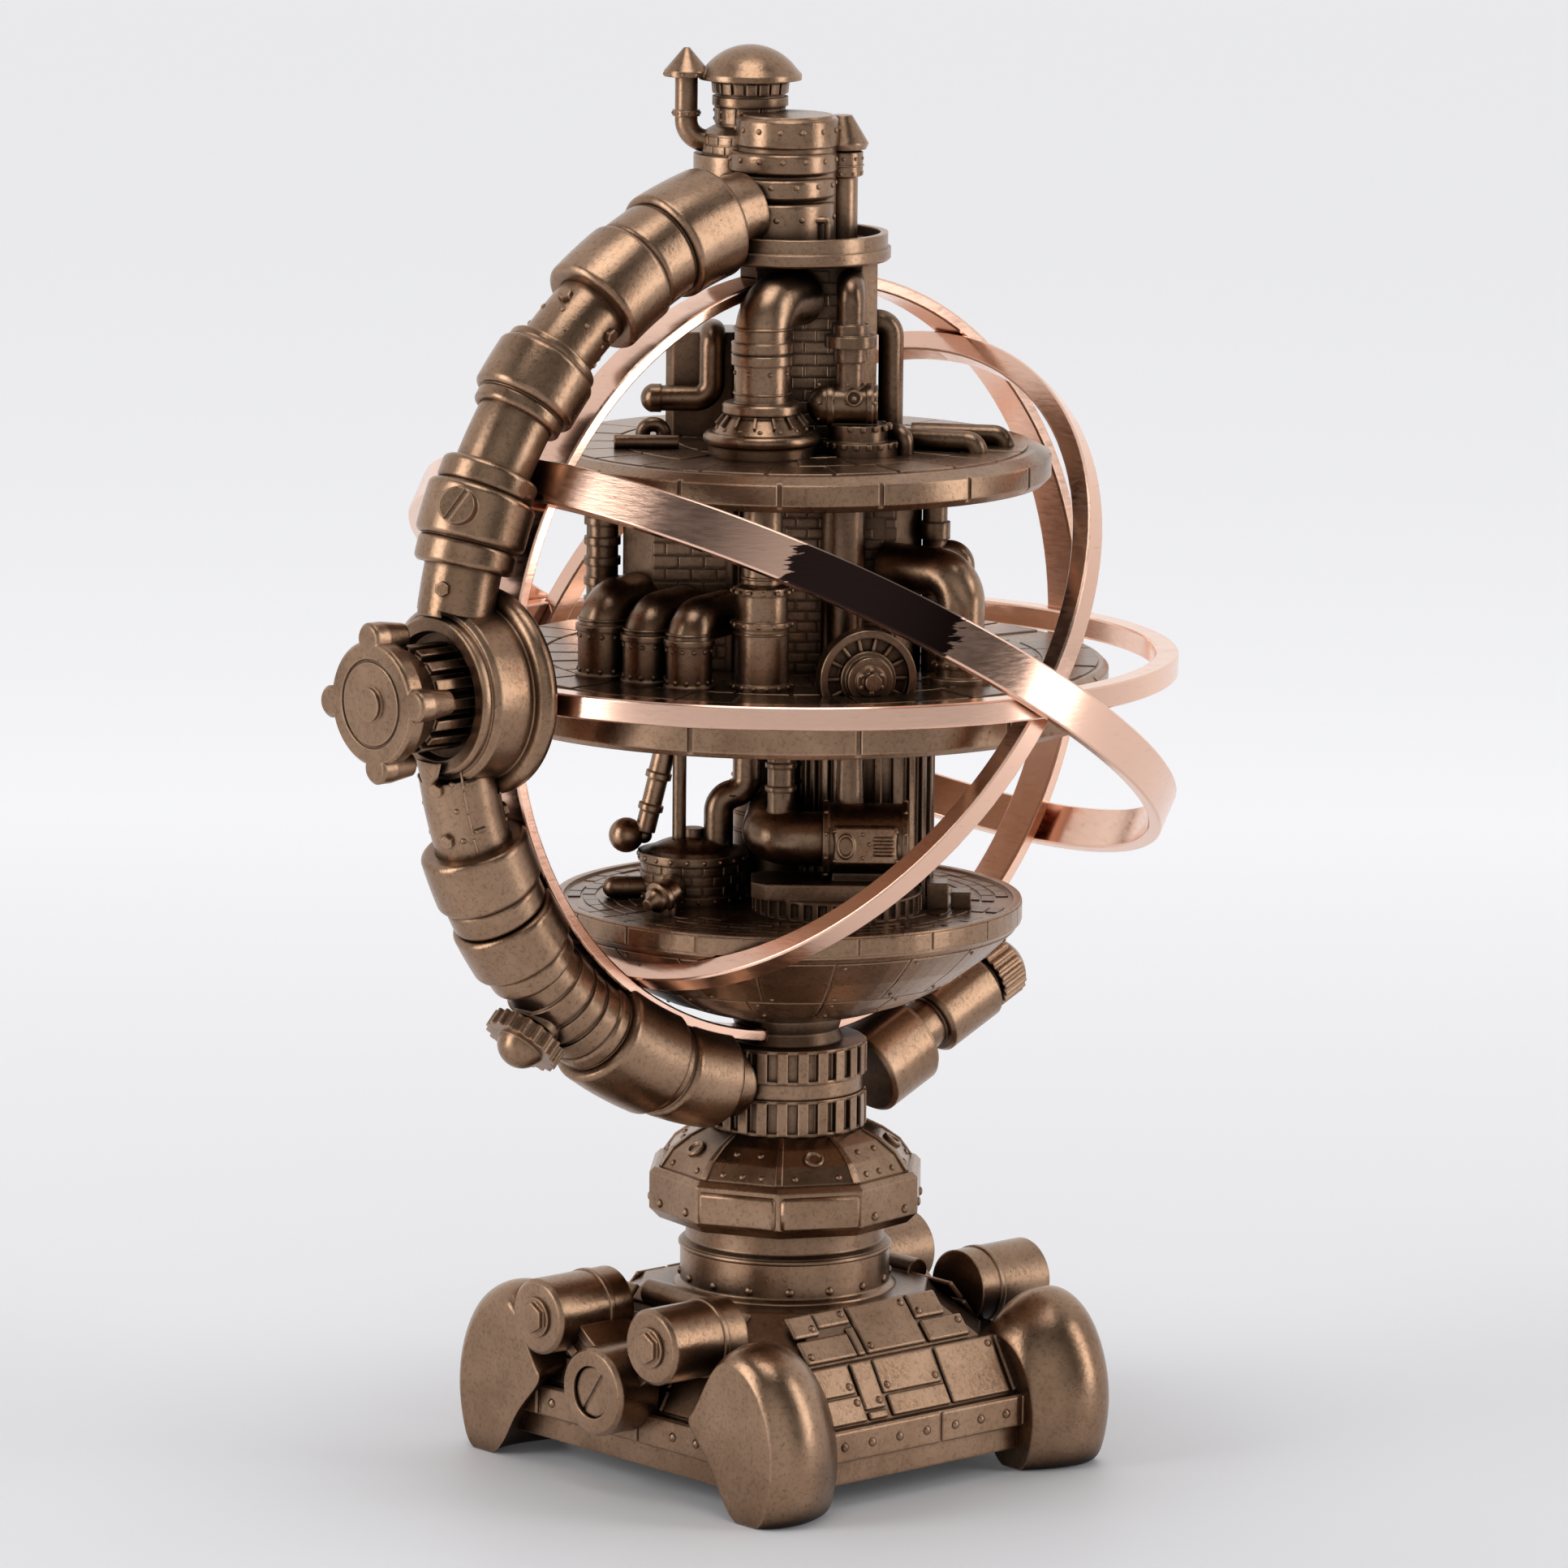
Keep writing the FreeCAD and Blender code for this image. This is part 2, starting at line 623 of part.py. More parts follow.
def pipe(points, radius, bend):
    """A round pipe along straight runs joined by tangent arcs."""
    corners = [Vector(*p) for p in points]
    edges = []
    here = corners[0]
    for i in range(1, len(corners) - 1):
        to_here = (corners[i - 1] - corners[i]).normalize()
        to_next = (corners[i + 1] - corners[i]).normalize()
        half_turn = (math.pi - to_here.getAngle(to_next)) / 2
        reach = bend * math.tan(half_turn)
        first = corners[i] + to_here * reach
        last = corners[i] + to_next * reach
        bisector = (to_here + to_next).normalize()
        middle = corners[i] + bisector * (bend / math.cos(half_turn) - bend)
        edges.append(Part.makeLine(here, first))
        edges.append(Part.Arc(first, middle, last).toShape())
        here = last
    edges.append(Part.makeLine(here, corners[-1]))
    path = Part.Wire(edges)
    start_direction = corners[1] - corners[0]
    circle = Part.Wire(Part.makeCircle(radius, corners[0], start_direction))
    return path.makePipeShell([circle], True, False)


# ---------------------------------------------------------------------------
# stand
# ---------------------------------------------------------------------------

def base_plinth():
    foot = frustum(PLINTH_HALF, PLINTH_HALF, CORNER_CUT_LOWER, CORNER_CUT_LOWER, PLINTH_Z0, STRIP_Z0)
    strip = frustum(STRIP_HALF, STRIP_HALF, CORNER_CUT_LOWER, CORNER_CUT_LOWER, STRIP_Z0, STRIP_Z1)
    return fused([foot, strip])


def base_lower_housing():
    return frustum(LOWER_SLOPE_HALF0, LOWER_SLOPE_HALF1, CORNER_CUT_LOWER, CORNER_CUT_LOWER, STRIP_Z1,
                   LEDGE_Z)


def base_upper_housing():
    slope = frustum(UPPER_SLOPE_HALF0, UPPER_SLOPE_HALF1, CORNER_CUT_UPPER, CORNER_CUT_UPPER,
                    LEDGE_Z, HOUSING_TOP_Z)
    barrels = []
    for side in (-1, 1):
        barrel = Part.makeCylinder(BARREL_R, 2 * BARREL_HALF, Vector(side * BARREL_X, -BARREL_HALF,
            HOUSING_TOP_Z),
                                   Vector(0, 1, 0))
        barrels.append(barrel)
    return fused([slope] + barrels)


def foot_wire(x, out, up, shrink):
    """One smooth section of a foot at x, grown outwards and upwards and shrunk about its sole."""
    points = []
    for y, z in FOOT_FACE:
        grow = (y - FOOT_FACE[0][0]) / FOOT_WIDTH
        rise = max(z, 0.0) / FOOT_HEIGHT
        new_y = FOOT_CENTRE_Y + (y - FOOT_CENTRE_Y) * shrink + out * grow
        points.append(Vector(x, new_y, z * shrink + up * rise))
    curve = Part.BSplineCurve()
    curve.interpolate(Points=points, PeriodicFlag=True)
    return Part.Wire(curve.toShape())


def foot():
    """The foot at +X +Y, lofted through its sections and cut flat at the sole."""
    body = Part.makeLoft([foot_wire(*section) for section in FOOT_SECTIONS], True, False)
    ground = block(0, 2 * STRIP_HALF, 0, 2 * STRIP_HALF, -FOOT_HEIGHT, 0)
    return body.cut(ground)


def mirrored(shape, flip_x, flip_y):
    """A copy mirrored across the YZ or XZ plane, or both."""
    result = shape
    if flip_x:
        result = result.mirror(Vector(0, 0, 0), Vector(1, 0, 0))
    if flip_y:
        result = result.mirror(Vector(0, 0, 0), Vector(0, 1, 0))
    return result


def side_drum(side, y):
    """A drum lying along X with a seam ring and a square lug."""
    body = turned([(0, DRUM_BACK_X), (DRUM_R, DRUM_BACK_X), (DRUM_R, DRUM_SEAM_X), (DRUM_SEAM_R,
        DRUM_SEAM_X),
                   (DRUM_SEAM_R, DRUM_SEAM_X + DRUM_SEAM_W), (DRUM_R, DRUM_SEAM_X + DRUM_SEAM_W),
                   (DRUM_R, DRUM_FACE_X - DRUM_EDGE), (DRUM_R - DRUM_EDGE, DRUM_FACE_X), (0, DRUM_FACE_X)])
    drum = along_x(body)
    drum.translate(Vector(0, y, DRUM_Z))
    if side > 0:
        drum = mirrored(drum, True, False)
    return drum


def centre_drum(side):
    body = turned([(0, CENTRE_DRUM_BACK_X), (CENTRE_DRUM_R, CENTRE_DRUM_BACK_X),
                   (CENTRE_DRUM_R, CENTRE_DRUM_FACE_X - DRUM_EDGE),
                   (CENTRE_DRUM_R - DRUM_EDGE, CENTRE_DRUM_FACE_X),
                   (CENTRE_RECESS_R, CENTRE_DRUM_FACE_X),
                   (CENTRE_RECESS_R, CENTRE_DRUM_FACE_X - CENTRE_RECESS_DEPTH),
                   (0, CENTRE_DRUM_FACE_X - CENTRE_RECESS_DEPTH)])
    drum = along_x(body)
    drum.translate(Vector(0, 0, CENTRE_DRUM_Z))
    if side > 0:
        drum = mirrored(drum, True, False)
    return drum


def slotted_screw(side):
    seat = CENTRE_DRUM_FACE_X - CENTRE_RECESS_DEPTH
    head = disc(SLOT_SCREW_R, seat, seat + CENTRE_RECESS_DEPTH - SLOT_SCREW_PROUD)
    slot = block(-SLOT_SCREW_R, SLOT_SCREW_R, -SLOT_SCREW_CUT / 2, SLOT_SCREW_CUT / 2,
                 seat + SLOT_SCREW_CUT / 2, seat + CENTRE_RECESS_DEPTH)
    slot.rotate(Vector(0, 0, 0), Vector(0, 0, 1), -35)
    screw = along_x(head.cut(slot))
    screw.translate(Vector(0, 0, CENTRE_DRUM_Z))
    return mirrored(screw, side > 0, False)


def hex_nut(side, y):
    washer = disc(NUT_WASHER_R, DRUM_FACE_X, DRUM_FACE_X + NUT_WASHER_H)
    nut = polygon_stack(6, [(HEX_NUT_R, DRUM_FACE_X + NUT_WASHER_H), (HEX_NUT_R, DRUM_FACE_X + HEX_NUT_H)])
    both = along_x(fused([washer, nut]))
    both.translate(Vector(0, y, DRUM_Z))
    return mirrored(both, side > 0, False)


def link_arm(side, y_sign):
    """A flat bar from a side drum down to the centre drum."""
    run_y = DRUM_Y
    run_z = DRUM_Z - CENTRE_DRUM_Z
    length = math.hypot(run_y, run_z)
    bar = block(LINK_X0, LINK_X1, 0, length, -LINK_WIDTH / 2, LINK_WIDTH / 2)
    groove = block(LINK_X1 - DRUM_EDGE, LINK_X1 + 1, 0, length, -LINK_WIDTH / 5, LINK_WIDTH / 5)
    bar = bar.cut(groove)
    bar.rotate(Vector(0, 0, 0), Vector(1, 0, 0), math.degrees(math.atan2(run_z, run_y)))
    bar.translate(Vector(0, 0, CENTRE_DRUM_Z))
    bar = mirrored(bar, side < 0, y_sign < 0)
    for drum in (side_drum(side, y_sign * DRUM_Y), centre_drum(side)):
        bar = bar.cut(drum)
    for housing in (base_plinth(), base_lower_housing(), base_upper_housing()):
        bar = bar.cut(housing)
    return max(bar.Solids, key=lambda solid: solid.Volume)


def neck_ring():
    return turned([(0, HOUSING_TOP_Z), (NECK_FOOT_R, HOUSING_TOP_Z), (NECK_R, HOUSING_TOP_Z + NECK_FOOT_H),
                   (NECK_R, NECK_STEP_Z), (NECK_STEP_R, NECK_STEP_Z + NECK_FOOT_H), (NECK_STEP_R,
                       COLLAR_Z0),
                   (0, COLLAR_Z0)])


def decagon_collar():
    levels = [(COLLAR_R - COLLAR_BEVEL, COLLAR_Z0), (COLLAR_R, COLLAR_Z0 + COLLAR_BEVEL),
              (COLLAR_R, COLLAR_Z1 - COLLAR_BEVEL / 2), (COLLAR_R - COLLAR_BEVEL / 2, COLLAR_Z1)]
    collar = polygon_stack(SIDES, levels, COLLAR_TURN)
    return collar.cut(disc(SWIVEL_PIN_R + SEAT, SWIVEL_PIN_Z0, COLLAR_Z1 + 1))


def sector_dome():
    levels = [(DOME_R0, COLLAR_Z1), (DOME_R1, DOME_Z1), (DOME_R2, DOME_Z2), (DOME_R3, DOME_TOP_Z)]
    dome = polygon_stack(SIDES, levels, COLLAR_TURN)
    return dome.cut(disc(SWIVEL_PIN_R + SEAT, COLLAR_Z1 - 1, DOME_TOP_Z + 1))


def gear(z0, z1, bore):
    """A bar-toothed gear between two thin plates."""
    hub = disc(GEAR_ROOT_R, z0, z1)
    plates = [disc(GEAR_PLATE_R, z0, z0 + GEAR_PLATE_H), disc(GEAR_PLATE_R, z1 - GEAR_PLATE_H, z1)]
    tooth = block(GEAR_ROOT_R - 1.0, GEAR_R, -TOOTH_W / 2, TOOTH_W / 2, z0 + GEAR_PLATE_H / 2,
                  z1 - GEAR_PLATE_H / 2)
    wheel = fused([hub] + plates + around(tooth, TEETH))
    return wheel.cut(disc(bore, z0 - 1, z1 + 1))


def lower_gear():
    """The fixed gear with the pin that the frame turns on."""
    pin = disc(SWIVEL_PIN_R, SWIVEL_PIN_Z0, SWIVEL_PIN_Z1)
    return fused([gear(LOWER_GEAR_Z0, LOWER_GEAR_Z1, SWIVEL_PIN_R - 1), pin])


# ---------------------------------------------------------------------------
# ring cage
# ---------------------------------------------------------------------------

def band(radius, thickness, width, tilt, bevel=RING_BEVEL):
    """A bevelled hoop about the cage centre, tilted about Y; tilt None stands it in XZ."""
    inner = radius - thickness
    half = width / 2
    hoop = turned([(inner + bevel, -half), (radius - bevel, -half), (radius, -half + bevel),
                   (radius, half - bevel), (radius - bevel, half), (inner + bevel, half),
                   (inner, half - bevel), (inner, -half + bevel)])
    if tilt is None:
        hoop.rotate(Vector(0, 0, 0), Vector(1, 0, 0), 90)
    else:
        hoop.rotate(Vector(0, 0, 0), Vector(0, 1, 0), tilt)
    hoop.translate(Vector(0, 0, CAGE_Z))
    return hoop


def meridian_slot(inward=0.0, outward=0.0):
    """The space the meridian ring needs in its seats."""
    return band(MERIDIAN_R + SLOT_CLEARANCE + outward, MERIDIAN_T + 2 * SLOT_CLEARANCE + inward + outward,
                MERIDIAN_W + 2 * SLOT_CLEARANCE, None, SEAT)


def leaning_slot(inward=0.0):
    return band(LEANING_R + SLOT_CLEARANCE, LEANING_T + 2 * SLOT_CLEARANCE + inward,
                LEANING_W + 2 * SLOT_CLEARANCE, LEANING_TILT, SEAT)


def wide_slot(outward=0.0):
    return band(WIDE_R + SLOT_CLEARANCE + outward, WIDE_T + 2 * SLOT_CLEARANCE + outward,
                WIDE_W + 2 * SLOT_CLEARANCE, WIDE_TILT, SEAT)


def meridian_ring():
    return band(MERIDIAN_R, MERIDIAN_T, MERIDIAN_W, None)


def leaning_ring():
    return band(LEANING_R, LEANING_T, LEANING_W, LEANING_TILT)


def wide_ring():
    return band(WIDE_R, WIDE_T, WIDE_W, WIDE_TILT)


def equator_ring():
    """The equator is half lapped over the leaning ring and behind the meridian ring."""
    ring = band(EQUATOR_R, EQUATOR_T, EQUATOR_W, 0.0)
    ring = ring.cut(meridian_slot(outward=2.0))
    return ring.cut(leaning_slot(inward=2.0))


def solder_pads():
    """Pads that fill the gap between the wide ring and the rings inside it."""
    inner = MERIDIAN_R + SEAT
    outer = WIDE_R - WIDE_T - SEAT
    pads = []
    for direction in (Vector(math.cos(math.radians(WIDE_TILT)), 0, -math.sin(math.radians(WIDE_TILT))),
                      Vector(0, 1, 0)):
        for sign in (-1, 1):
            axis = direction * sign
            pads.append(Part.makeCylinder(PAD_R, outer - inner, Vector(0, 0, CAGE_Z) + axis * inner, axis))
    return group(pads)


# ---------------------------------------------------------------------------
# C-shaped arm
# ---------------------------------------------------------------------------

def arm_point(angle, radius=ARM_R):
    """A point of the arm's plane by its angle from -X."""
    turn = math.radians(angle)
    return Vector(-radius * math.cos(turn), 0, ARM_Z + radius * math.sin(turn))


def arm_segment(angle0, angle1, radius, edge=0.0):
    """A curved length of round section along the arm, with rounded ends if asked."""
    turn = math.radians(angle0)
    tangent = Vector(math.sin(turn), 0, math.cos(turn))
    circle = Part.Wire(Part.makeCircle(radius, arm_point(angle0), tangent))
    solid = Part.Face(circle).revolve(Vector(0, 0, ARM_Z), Vector(0, 1, 0), angle1 - angle0)
    if edge:
        rims = [e for e in solid.Edges if abs(e.Curve.Radius - radius) < SEAT and e.isClosed()]
        solid = solid.makeFillet(edge, rims)
    return solid


def sleeve(spans):
    """Stepped collars bored to slide on the arm's pipe, each rounded as far as its length allows."""
    lengths = []
    for a0, a1, radius in spans:
        inner_run = (ARM_R - radius) * math.radians(a1 - a0)
        lengths.append(arm_segment(a0, a1, radius, min(ARM_EDGE, ARM_EDGE_SHARE * inner_run)))
    solid = fused(lengths)
    first = min(span[0] for span in spans)
    last = max(span[1] for span in spans)
    return solid.cut(arm_segment(first - 1, last + 1, ARM_PIPE_R + SEAT))


def stem_keepout():
    """The turning space of the gears and the stand below the arm."""
    return disc(GEAR_R + SWEEP_CLEARANCE, COLLAR_Z1, UPPER_GEAR_Z1 + 1)


def arm_core():
    """The bare pipe from the cap round to the stem, broken at the hub."""
    upper = arm_segment(HUB_SLEEVE[0], ARM_TOP_ANGLE, ARM_PIPE_R)
    lower = arm_segment(ARM_BOTTOM_ANGLE, LOWER_SLEEVE[1], ARM_PIPE_R)
    upper = upper.cut(meridian_slot()).cut(hub_envelope()).cut(turret_keepout())
    lower = lower.cut(meridian_slot()).cut(hub_envelope()).cut(stem_keepout()).cut(thumb_bore())
    return group([largest(upper), largest(lower)])


def largest(shape):
    return max(shape.Solids, key=lambda solid: solid.Volume)


def turret_keepout():
    """The cap tray and turret that the arm's upper end butts against."""
    tray = disc(TRAY_R + SEAT, TRAY_Z0 - SEAT, TRAY_WALL_Z + SEAT)
    bands = []
    for low, high, radius, u in TURRET_BANDS:
        bands.append(disc(radius + SEAT, TRAY_FLOOR_Z + low - 1, TRAY_FLOOR_Z + high + 1,
                          *turret_centre(u)))
    return fused([tray, facing(fused(bands))])


def top_collar():
    collar = sleeve([TOP_SLEEVE] + TOP_COLLAR)
    return largest(collar.cut(turret_keepout()).cut(meridian_slot()))


def upper_collar():
    return sleeve(UPPER_COLLAR)


def screw_collar():
    collar = sleeve([HUB_SLEEVE] + SCREW_COLLAR)
    collar = collar.cut(wide_slot(outward=1.0)).cut(hub_envelope())
    turn = math.radians(BOSS_TURN)
    outward = arm_point(BOSS_ANGLE) - Vector(0, 0, ARM_Z)
    outward.normalize()
    direction = outward * math.sin(turn) + Vector(0, -1, 0) * math.cos(turn)
    radius = SCREW_COLLAR[1][2]
    boss = Part.makeCylinder(BOSS_R, radius + BOSS_H, arm_point(BOSS_ANGLE), direction)
    slot = Part.makeBox(2 * BOSS_R + 2, BOSS_SLOT, BOSS_SLOT)
    slot.translate(Vector(-BOSS_R - 1, -BOSS_SLOT / 2, radius + BOSS_H - BOSS_SLOT / 2))
    slot.Placement = Placement(arm_point(BOSS_ANGLE), Rotation(Vector(0, 0, 1),
        direction)).multiply(slot.Placement)
    bore = arm_segment(SCREW_COLLAR[0][0] - 1, SCREW_COLLAR[2][1] + 1, ARM_PIPE_R + SEAT)
    return largest(fused([collar, boss.cut(bore)]).cut(slot).cut(bore))


def lower_collars():
    first = sleeve([LOWER_SLEEVE] + LOWER_COLLAR_A).cut(hub_envelope()).cut(meridian_slot())
    second = sleeve(LOWER_COLLAR_B).cut(meridian_slot())
    return group([largest(first), largest(second)])


def thumb_axis():
    """The outward direction of the thumbscrew."""
    axis = arm_point(THUMB_ANGLE) - Vector(0, 0, ARM_Z)
    return axis.normalize()


def thumb_cylinder(radius, r0, r1, seam):
    """A cylinder along the thumbscrew's axis with its seam turned clear of the arm's own."""
    solid = Part.makeCylinder(radius, r1 - r0, arm_point(THUMB_ANGLE, r0), thumb_axis())
    solid.rotate(arm_point(THUMB_ANGLE), thumb_axis(), seam)
    return solid


def thumb_bore():
    return thumb_cylinder(THUMB_SHANK_R + RUNNING_RADIAL, ARM_R - 1, THUMB_SEAT_R + 1, 90)


def ribbed_sleeve():
    """The ribbed sleeve with a boss for the thumbscrew."""
    spans = [arm_segment(a0, a1, radius) for a0, a1, radius in RIBBED_SLEEVE]
    pad = thumb_cylinder(THUMB_NECK_R + 1.0, ARM_R + 2, THUMB_SEAT_R, 40)
    first, last = RIBBED_SLEEVE[-1][0], RIBBED_SLEEVE[0][1]
    core = arm_segment(first - 1, last + 1, ARM_PIPE_R + SEAT)
    return largest(spans[0].multiFuse(spans[1:] + [pad]).cut(core).cut(thumb_bore()))


def elbow_collar():
    return largest(sleeve(ELBOW_COLLAR).cut(meridian_slot()).cut(stem_keepout()))


def hub_profile_solid(radius, back, front):
    return along_x(disc(radius, back, front), HUB_Z)


def hub_envelope():
    """The round space of the hub that the arm's pipes stop against."""
    return hub_profile_solid(HUB_DRUM_R + SEAT, HUB_BACK_X - 1, HUB_STEP_FRONT_X + 1)


def hub_drum():
    half = HUB_FLANGE_W / 2
    outline = [(0, HUB_BACK_X), (HUB_FLANGE_R - half, HUB_BACK_X),
               (HUB_FLANGE_R, HUB_BACK_X + half, HUB_FLANGE_R - half, HUB_BACK_X + HUB_FLANGE_W),
               (HUB_DRUM_R, HUB_BACK_X + HUB_FLANGE_W), (HUB_DRUM_R, HUB_DRUM_FRONT_X - 1.0),
               (HUB_DRUM_R - 1.0, HUB_DRUM_FRONT_X), (HUB_STEP_R, HUB_DRUM_FRONT_X),
               (HUB_STEP_R, HUB_STEP_FRONT_X - 0.6), (HUB_STEP_R - 0.6, HUB_STEP_FRONT_X),
               (HUB_RECESS_R, HUB_STEP_FRONT_X), (HUB_RECESS_R - 0.6, HUB_STEP_FRONT_X - HUB_RECESS_DEPTH),
               (HUB_BORE_R + RUNNING_RADIAL, HUB_STEP_FRONT_X - HUB_RECESS_DEPTH),
               (HUB_BORE_R + RUNNING_RADIAL, HUB_STEP_FRONT_X - HUB_RECESS_DEPTH - HUB_BORE_DEPTH),
               (0, HUB_STEP_FRONT_X - HUB_RECESS_DEPTH - HUB_BORE_DEPTH)]
    hub = along_x(turned(outline), HUB_Z)
    return hub


# ---------------------------------------------------------------------------
# parts that turn by hand
# ---------------------------------------------------------------------------

def pinion():
    hub = disc(PINION_ROOT_R, PINION_BACK_X, PINION_FRONT_X)
    tooth = block(PINION_ROOT_R - 1, PINION_R, -PINION_TOOTH_W / 2, PINION_TOOTH_W / 2, PINION_BACK_X,
                  PINION_FRONT_X)
    shaft_start = HUB_STEP_FRONT_X - HUB_RECESS_DEPTH - HUB_BORE_DEPTH + RUNNING_FACE
    shaft = disc(HUB_BORE_R, shaft_start, PINION_BACK_X + 1)
    return along_x(fused([hub, shaft] + around(tooth, PINION_TEETH)), HUB_Z)


def hand_wheel():
    rim_back = WHEEL_FACE_X - WHEEL_RIM_W
    body = turned([(0, PINION_FRONT_X), (WHEEL_BACK_R, PINION_FRONT_X), (WHEEL_R, rim_back),
                   (WHEEL_R, WHEEL_FACE_X - 0.6), (WHEEL_R - 0.6, WHEEL_FACE_X),
                   (WHEEL_GROOVE_R + WHEEL_GROOVE_W, WHEEL_FACE_X),
                   (WHEEL_GROOVE_R + WHEEL_GROOVE_W, WHEEL_FACE_X - WHEEL_GROOVE_DEPTH),
                   (WHEEL_GROOVE_R, WHEEL_FACE_X - WHEEL_GROOVE_DEPTH), (WHEEL_GROOVE_R, WHEEL_FACE_X),
                   (BUTTON_R, WHEEL_FACE_X), (BUTTON_R, WHEEL_FACE_X + BUTTON_H), (0,
                       WHEEL_FACE_X + BUTTON_H)])
    lobe = turned([(0, PINION_FRONT_X), (LOBE_BACK_R, PINION_FRONT_X), (LOBE_R, rim_back), (LOBE_R,
        WHEEL_FACE_X - 0.6),
                   (LOBE_R - 0.6, WHEEL_FACE_X), (0, WHEEL_FACE_X)], LOBE_CENTRE_R)
    lobes = [spun(lobe, 360.0 * i / LOBES + 5.0) for i in range(LOBES)]
    return along_x(fused([body] + lobes), HUB_Z)


def knurled(radius, z0, z1, count, bump):
    """Half-round ridges about the Z axis."""
    ridge = disc(bump, z0, z1, radius)
    return around(ridge, count)


def thumbscrew():
    z0 = RUNNING_FACE
    neck = disc(THUMB_NECK_R, z0, THUMB_NECK_H)
    body = turned([(0, THUMB_NECK_H), (THUMB_DISC_R, THUMB_NECK_H), (THUMB_DISC_R,
        THUMB_NECK_H + THUMB_DISC_H),
                   (0, THUMB_NECK_H + THUMB_DISC_H)])
    top = THUMB_NECK_H + THUMB_DISC_H
    head = turned([(0, top), (THUMB_DOME_R, top), dome(THUMB_DOME_R, top, top + THUMB_DOME_H)])
    shank = disc(THUMB_SHANK_R, -THUMB_SHANK_L, z0)
    ridges = knurled(THUMB_DISC_R, THUMB_NECK_H, top, THUMB_KNURLS, THUMB_KNURL_R)
    screw = fused([neck, body, head, shank] + ridges)
    screw.Placement = Placement(arm_point(THUMB_ANGLE, THUMB_SEAT_R), Rotation(Vector(0, 0, 1),
        thumb_axis()))
    return screw


def on_short_arm(shape):
    """Place a solid turned about Z on the short arm, its Z running outwards."""
    rise = math.radians(SHORT_ARM_RISE)
    direction = Vector(math.cos(rise), 0, math.sin(rise))
    placed = shape.copy()
    foot_point = Vector(SHORT_ARM_FOOT[0], 0, SHORT_ARM_FOOT[1])
    placed.Placement = Placement(foot_point, Rotation(Vector(0, 0, 1),
                                                      direction)).multiply(placed.Placement)
    return placed


def short_arm():
    e = SHORT_EDGE
    outline = [(0, SHORT_DRUM[0]), (SHORT_DRUM_R - e, SHORT_DRUM[0]), (SHORT_DRUM_R, SHORT_DRUM[0] + e),
               (SHORT_DRUM_R, SHORT_DRUM[1]), (SHORT_RIM_R, SHORT_RIM[0]), (SHORT_RIM_R,
                   SHORT_RIM[1] - e / 2),
               (SHORT_RIM_R - e, SHORT_RIM[1]), (SHORT_NECK_R, SHORT_NECK[0]), (SHORT_NECK_R,
                   SHORT_NECK[1]),
               (SHORT_BARREL_R - e, SHORT_BARREL[0]), (SHORT_BARREL_R, SHORT_BARREL[0] + e),
               (SHORT_BARREL_R, SHORT_BARREL[1] - e), (SHORT_BARREL_R - e, SHORT_BARREL[1]),
               (KNOB_SHANK_R + RUNNING_RADIAL, SHORT_BARREL[1]),
               (KNOB_SHANK_R + RUNNING_RADIAL, SHORT_BARREL[1] - KNOB_SHANK_L - 1), (0,
                   SHORT_BARREL[1] - KNOB_SHANK_L - 1)]
    return on_short_arm(turned(outline)).cut(stem_keepout()).cut(meridian_slot())


def end_knob():
    z1 = KNOB_START + KNOB_NECK_H
    z2 = z1 + KNOB_L
    neck = disc(KNOB_NECK_R, KNOB_START, z1)
    body = disc(KNOB_R, z1, z2)
    cap = turned([(0, z2), (KNOB_R, z2), dome(KNOB_R, z2, z2 + KNOB_CAP_H)])
    shank = disc(KNOB_SHANK_R, SHORT_BARREL[1] - KNOB_SHANK_L, KNOB_START)
    ridges = knurled(KNOB_R, z1, z2 - 0.4, KNOB_KNURLS, KNOB_KNURL_R)
    return on_short_arm(fused([neck, body, cap, shank] + ridges))


# ---------------------------------------------------------------------------
# stem above the swivel
# ---------------------------------------------------------------------------

def stem_collar():
    """The turning ring that both arms are rooted in."""
    z0 = LOWER_GEAR_Z1 + RUNNING_FACE
    ring = disc(STEM_COLLAR_R, z0, STEM_COLLAR_Z1)
    reach = GEAR_R + SWEEP_CLEARANCE
    tongue = block(-reach, reach, -TONGUE_WIDTH / 2, TONGUE_WIDTH / 2, z0, STEM_COLLAR_Z1)
    tongue = tongue.common(disc(reach, z0, STEM_COLLAR_Z1))
    collar = fused([ring, tongue]).cut(disc(SWIVEL_PIN_R + RUNNING_RADIAL, z0 - 1, STEM_COLLAR_Z1 + 1))
    return collar


def upper_gear():
    wheel = gear(STEM_COLLAR_Z1, UPPER_GEAR_Z1, SWIVEL_PIN_R + RUNNING_RADIAL)
    lid = disc(SWIVEL_PIN_R + 1, SWIVEL_PIN_Z1 + RUNNING_FACE, UPPER_GEAR_Z1)
    return fused([wheel, lid])


def stem_neck():
    neck = turned([(0, UPPER_GEAR_Z1), (STEM_NECK_R, UPPER_GEAR_Z1), (STEM_NECK_WAIST_R,
        UPPER_GEAR_Z1 + 2.2),
                   (STEM_NECK_R, BOWL_FOOT_Z), (0, BOWL_FOOT_Z)])
    return neck.cut(meridian_slot())


def facing(shape):
    """Turn a machine from its layout frame to face the front corner."""
    placed = shape.copy()
    placed.rotate(Vector(0, 0, 0), Vector(0, 0, 1), FRONT_TURN)
    return placed


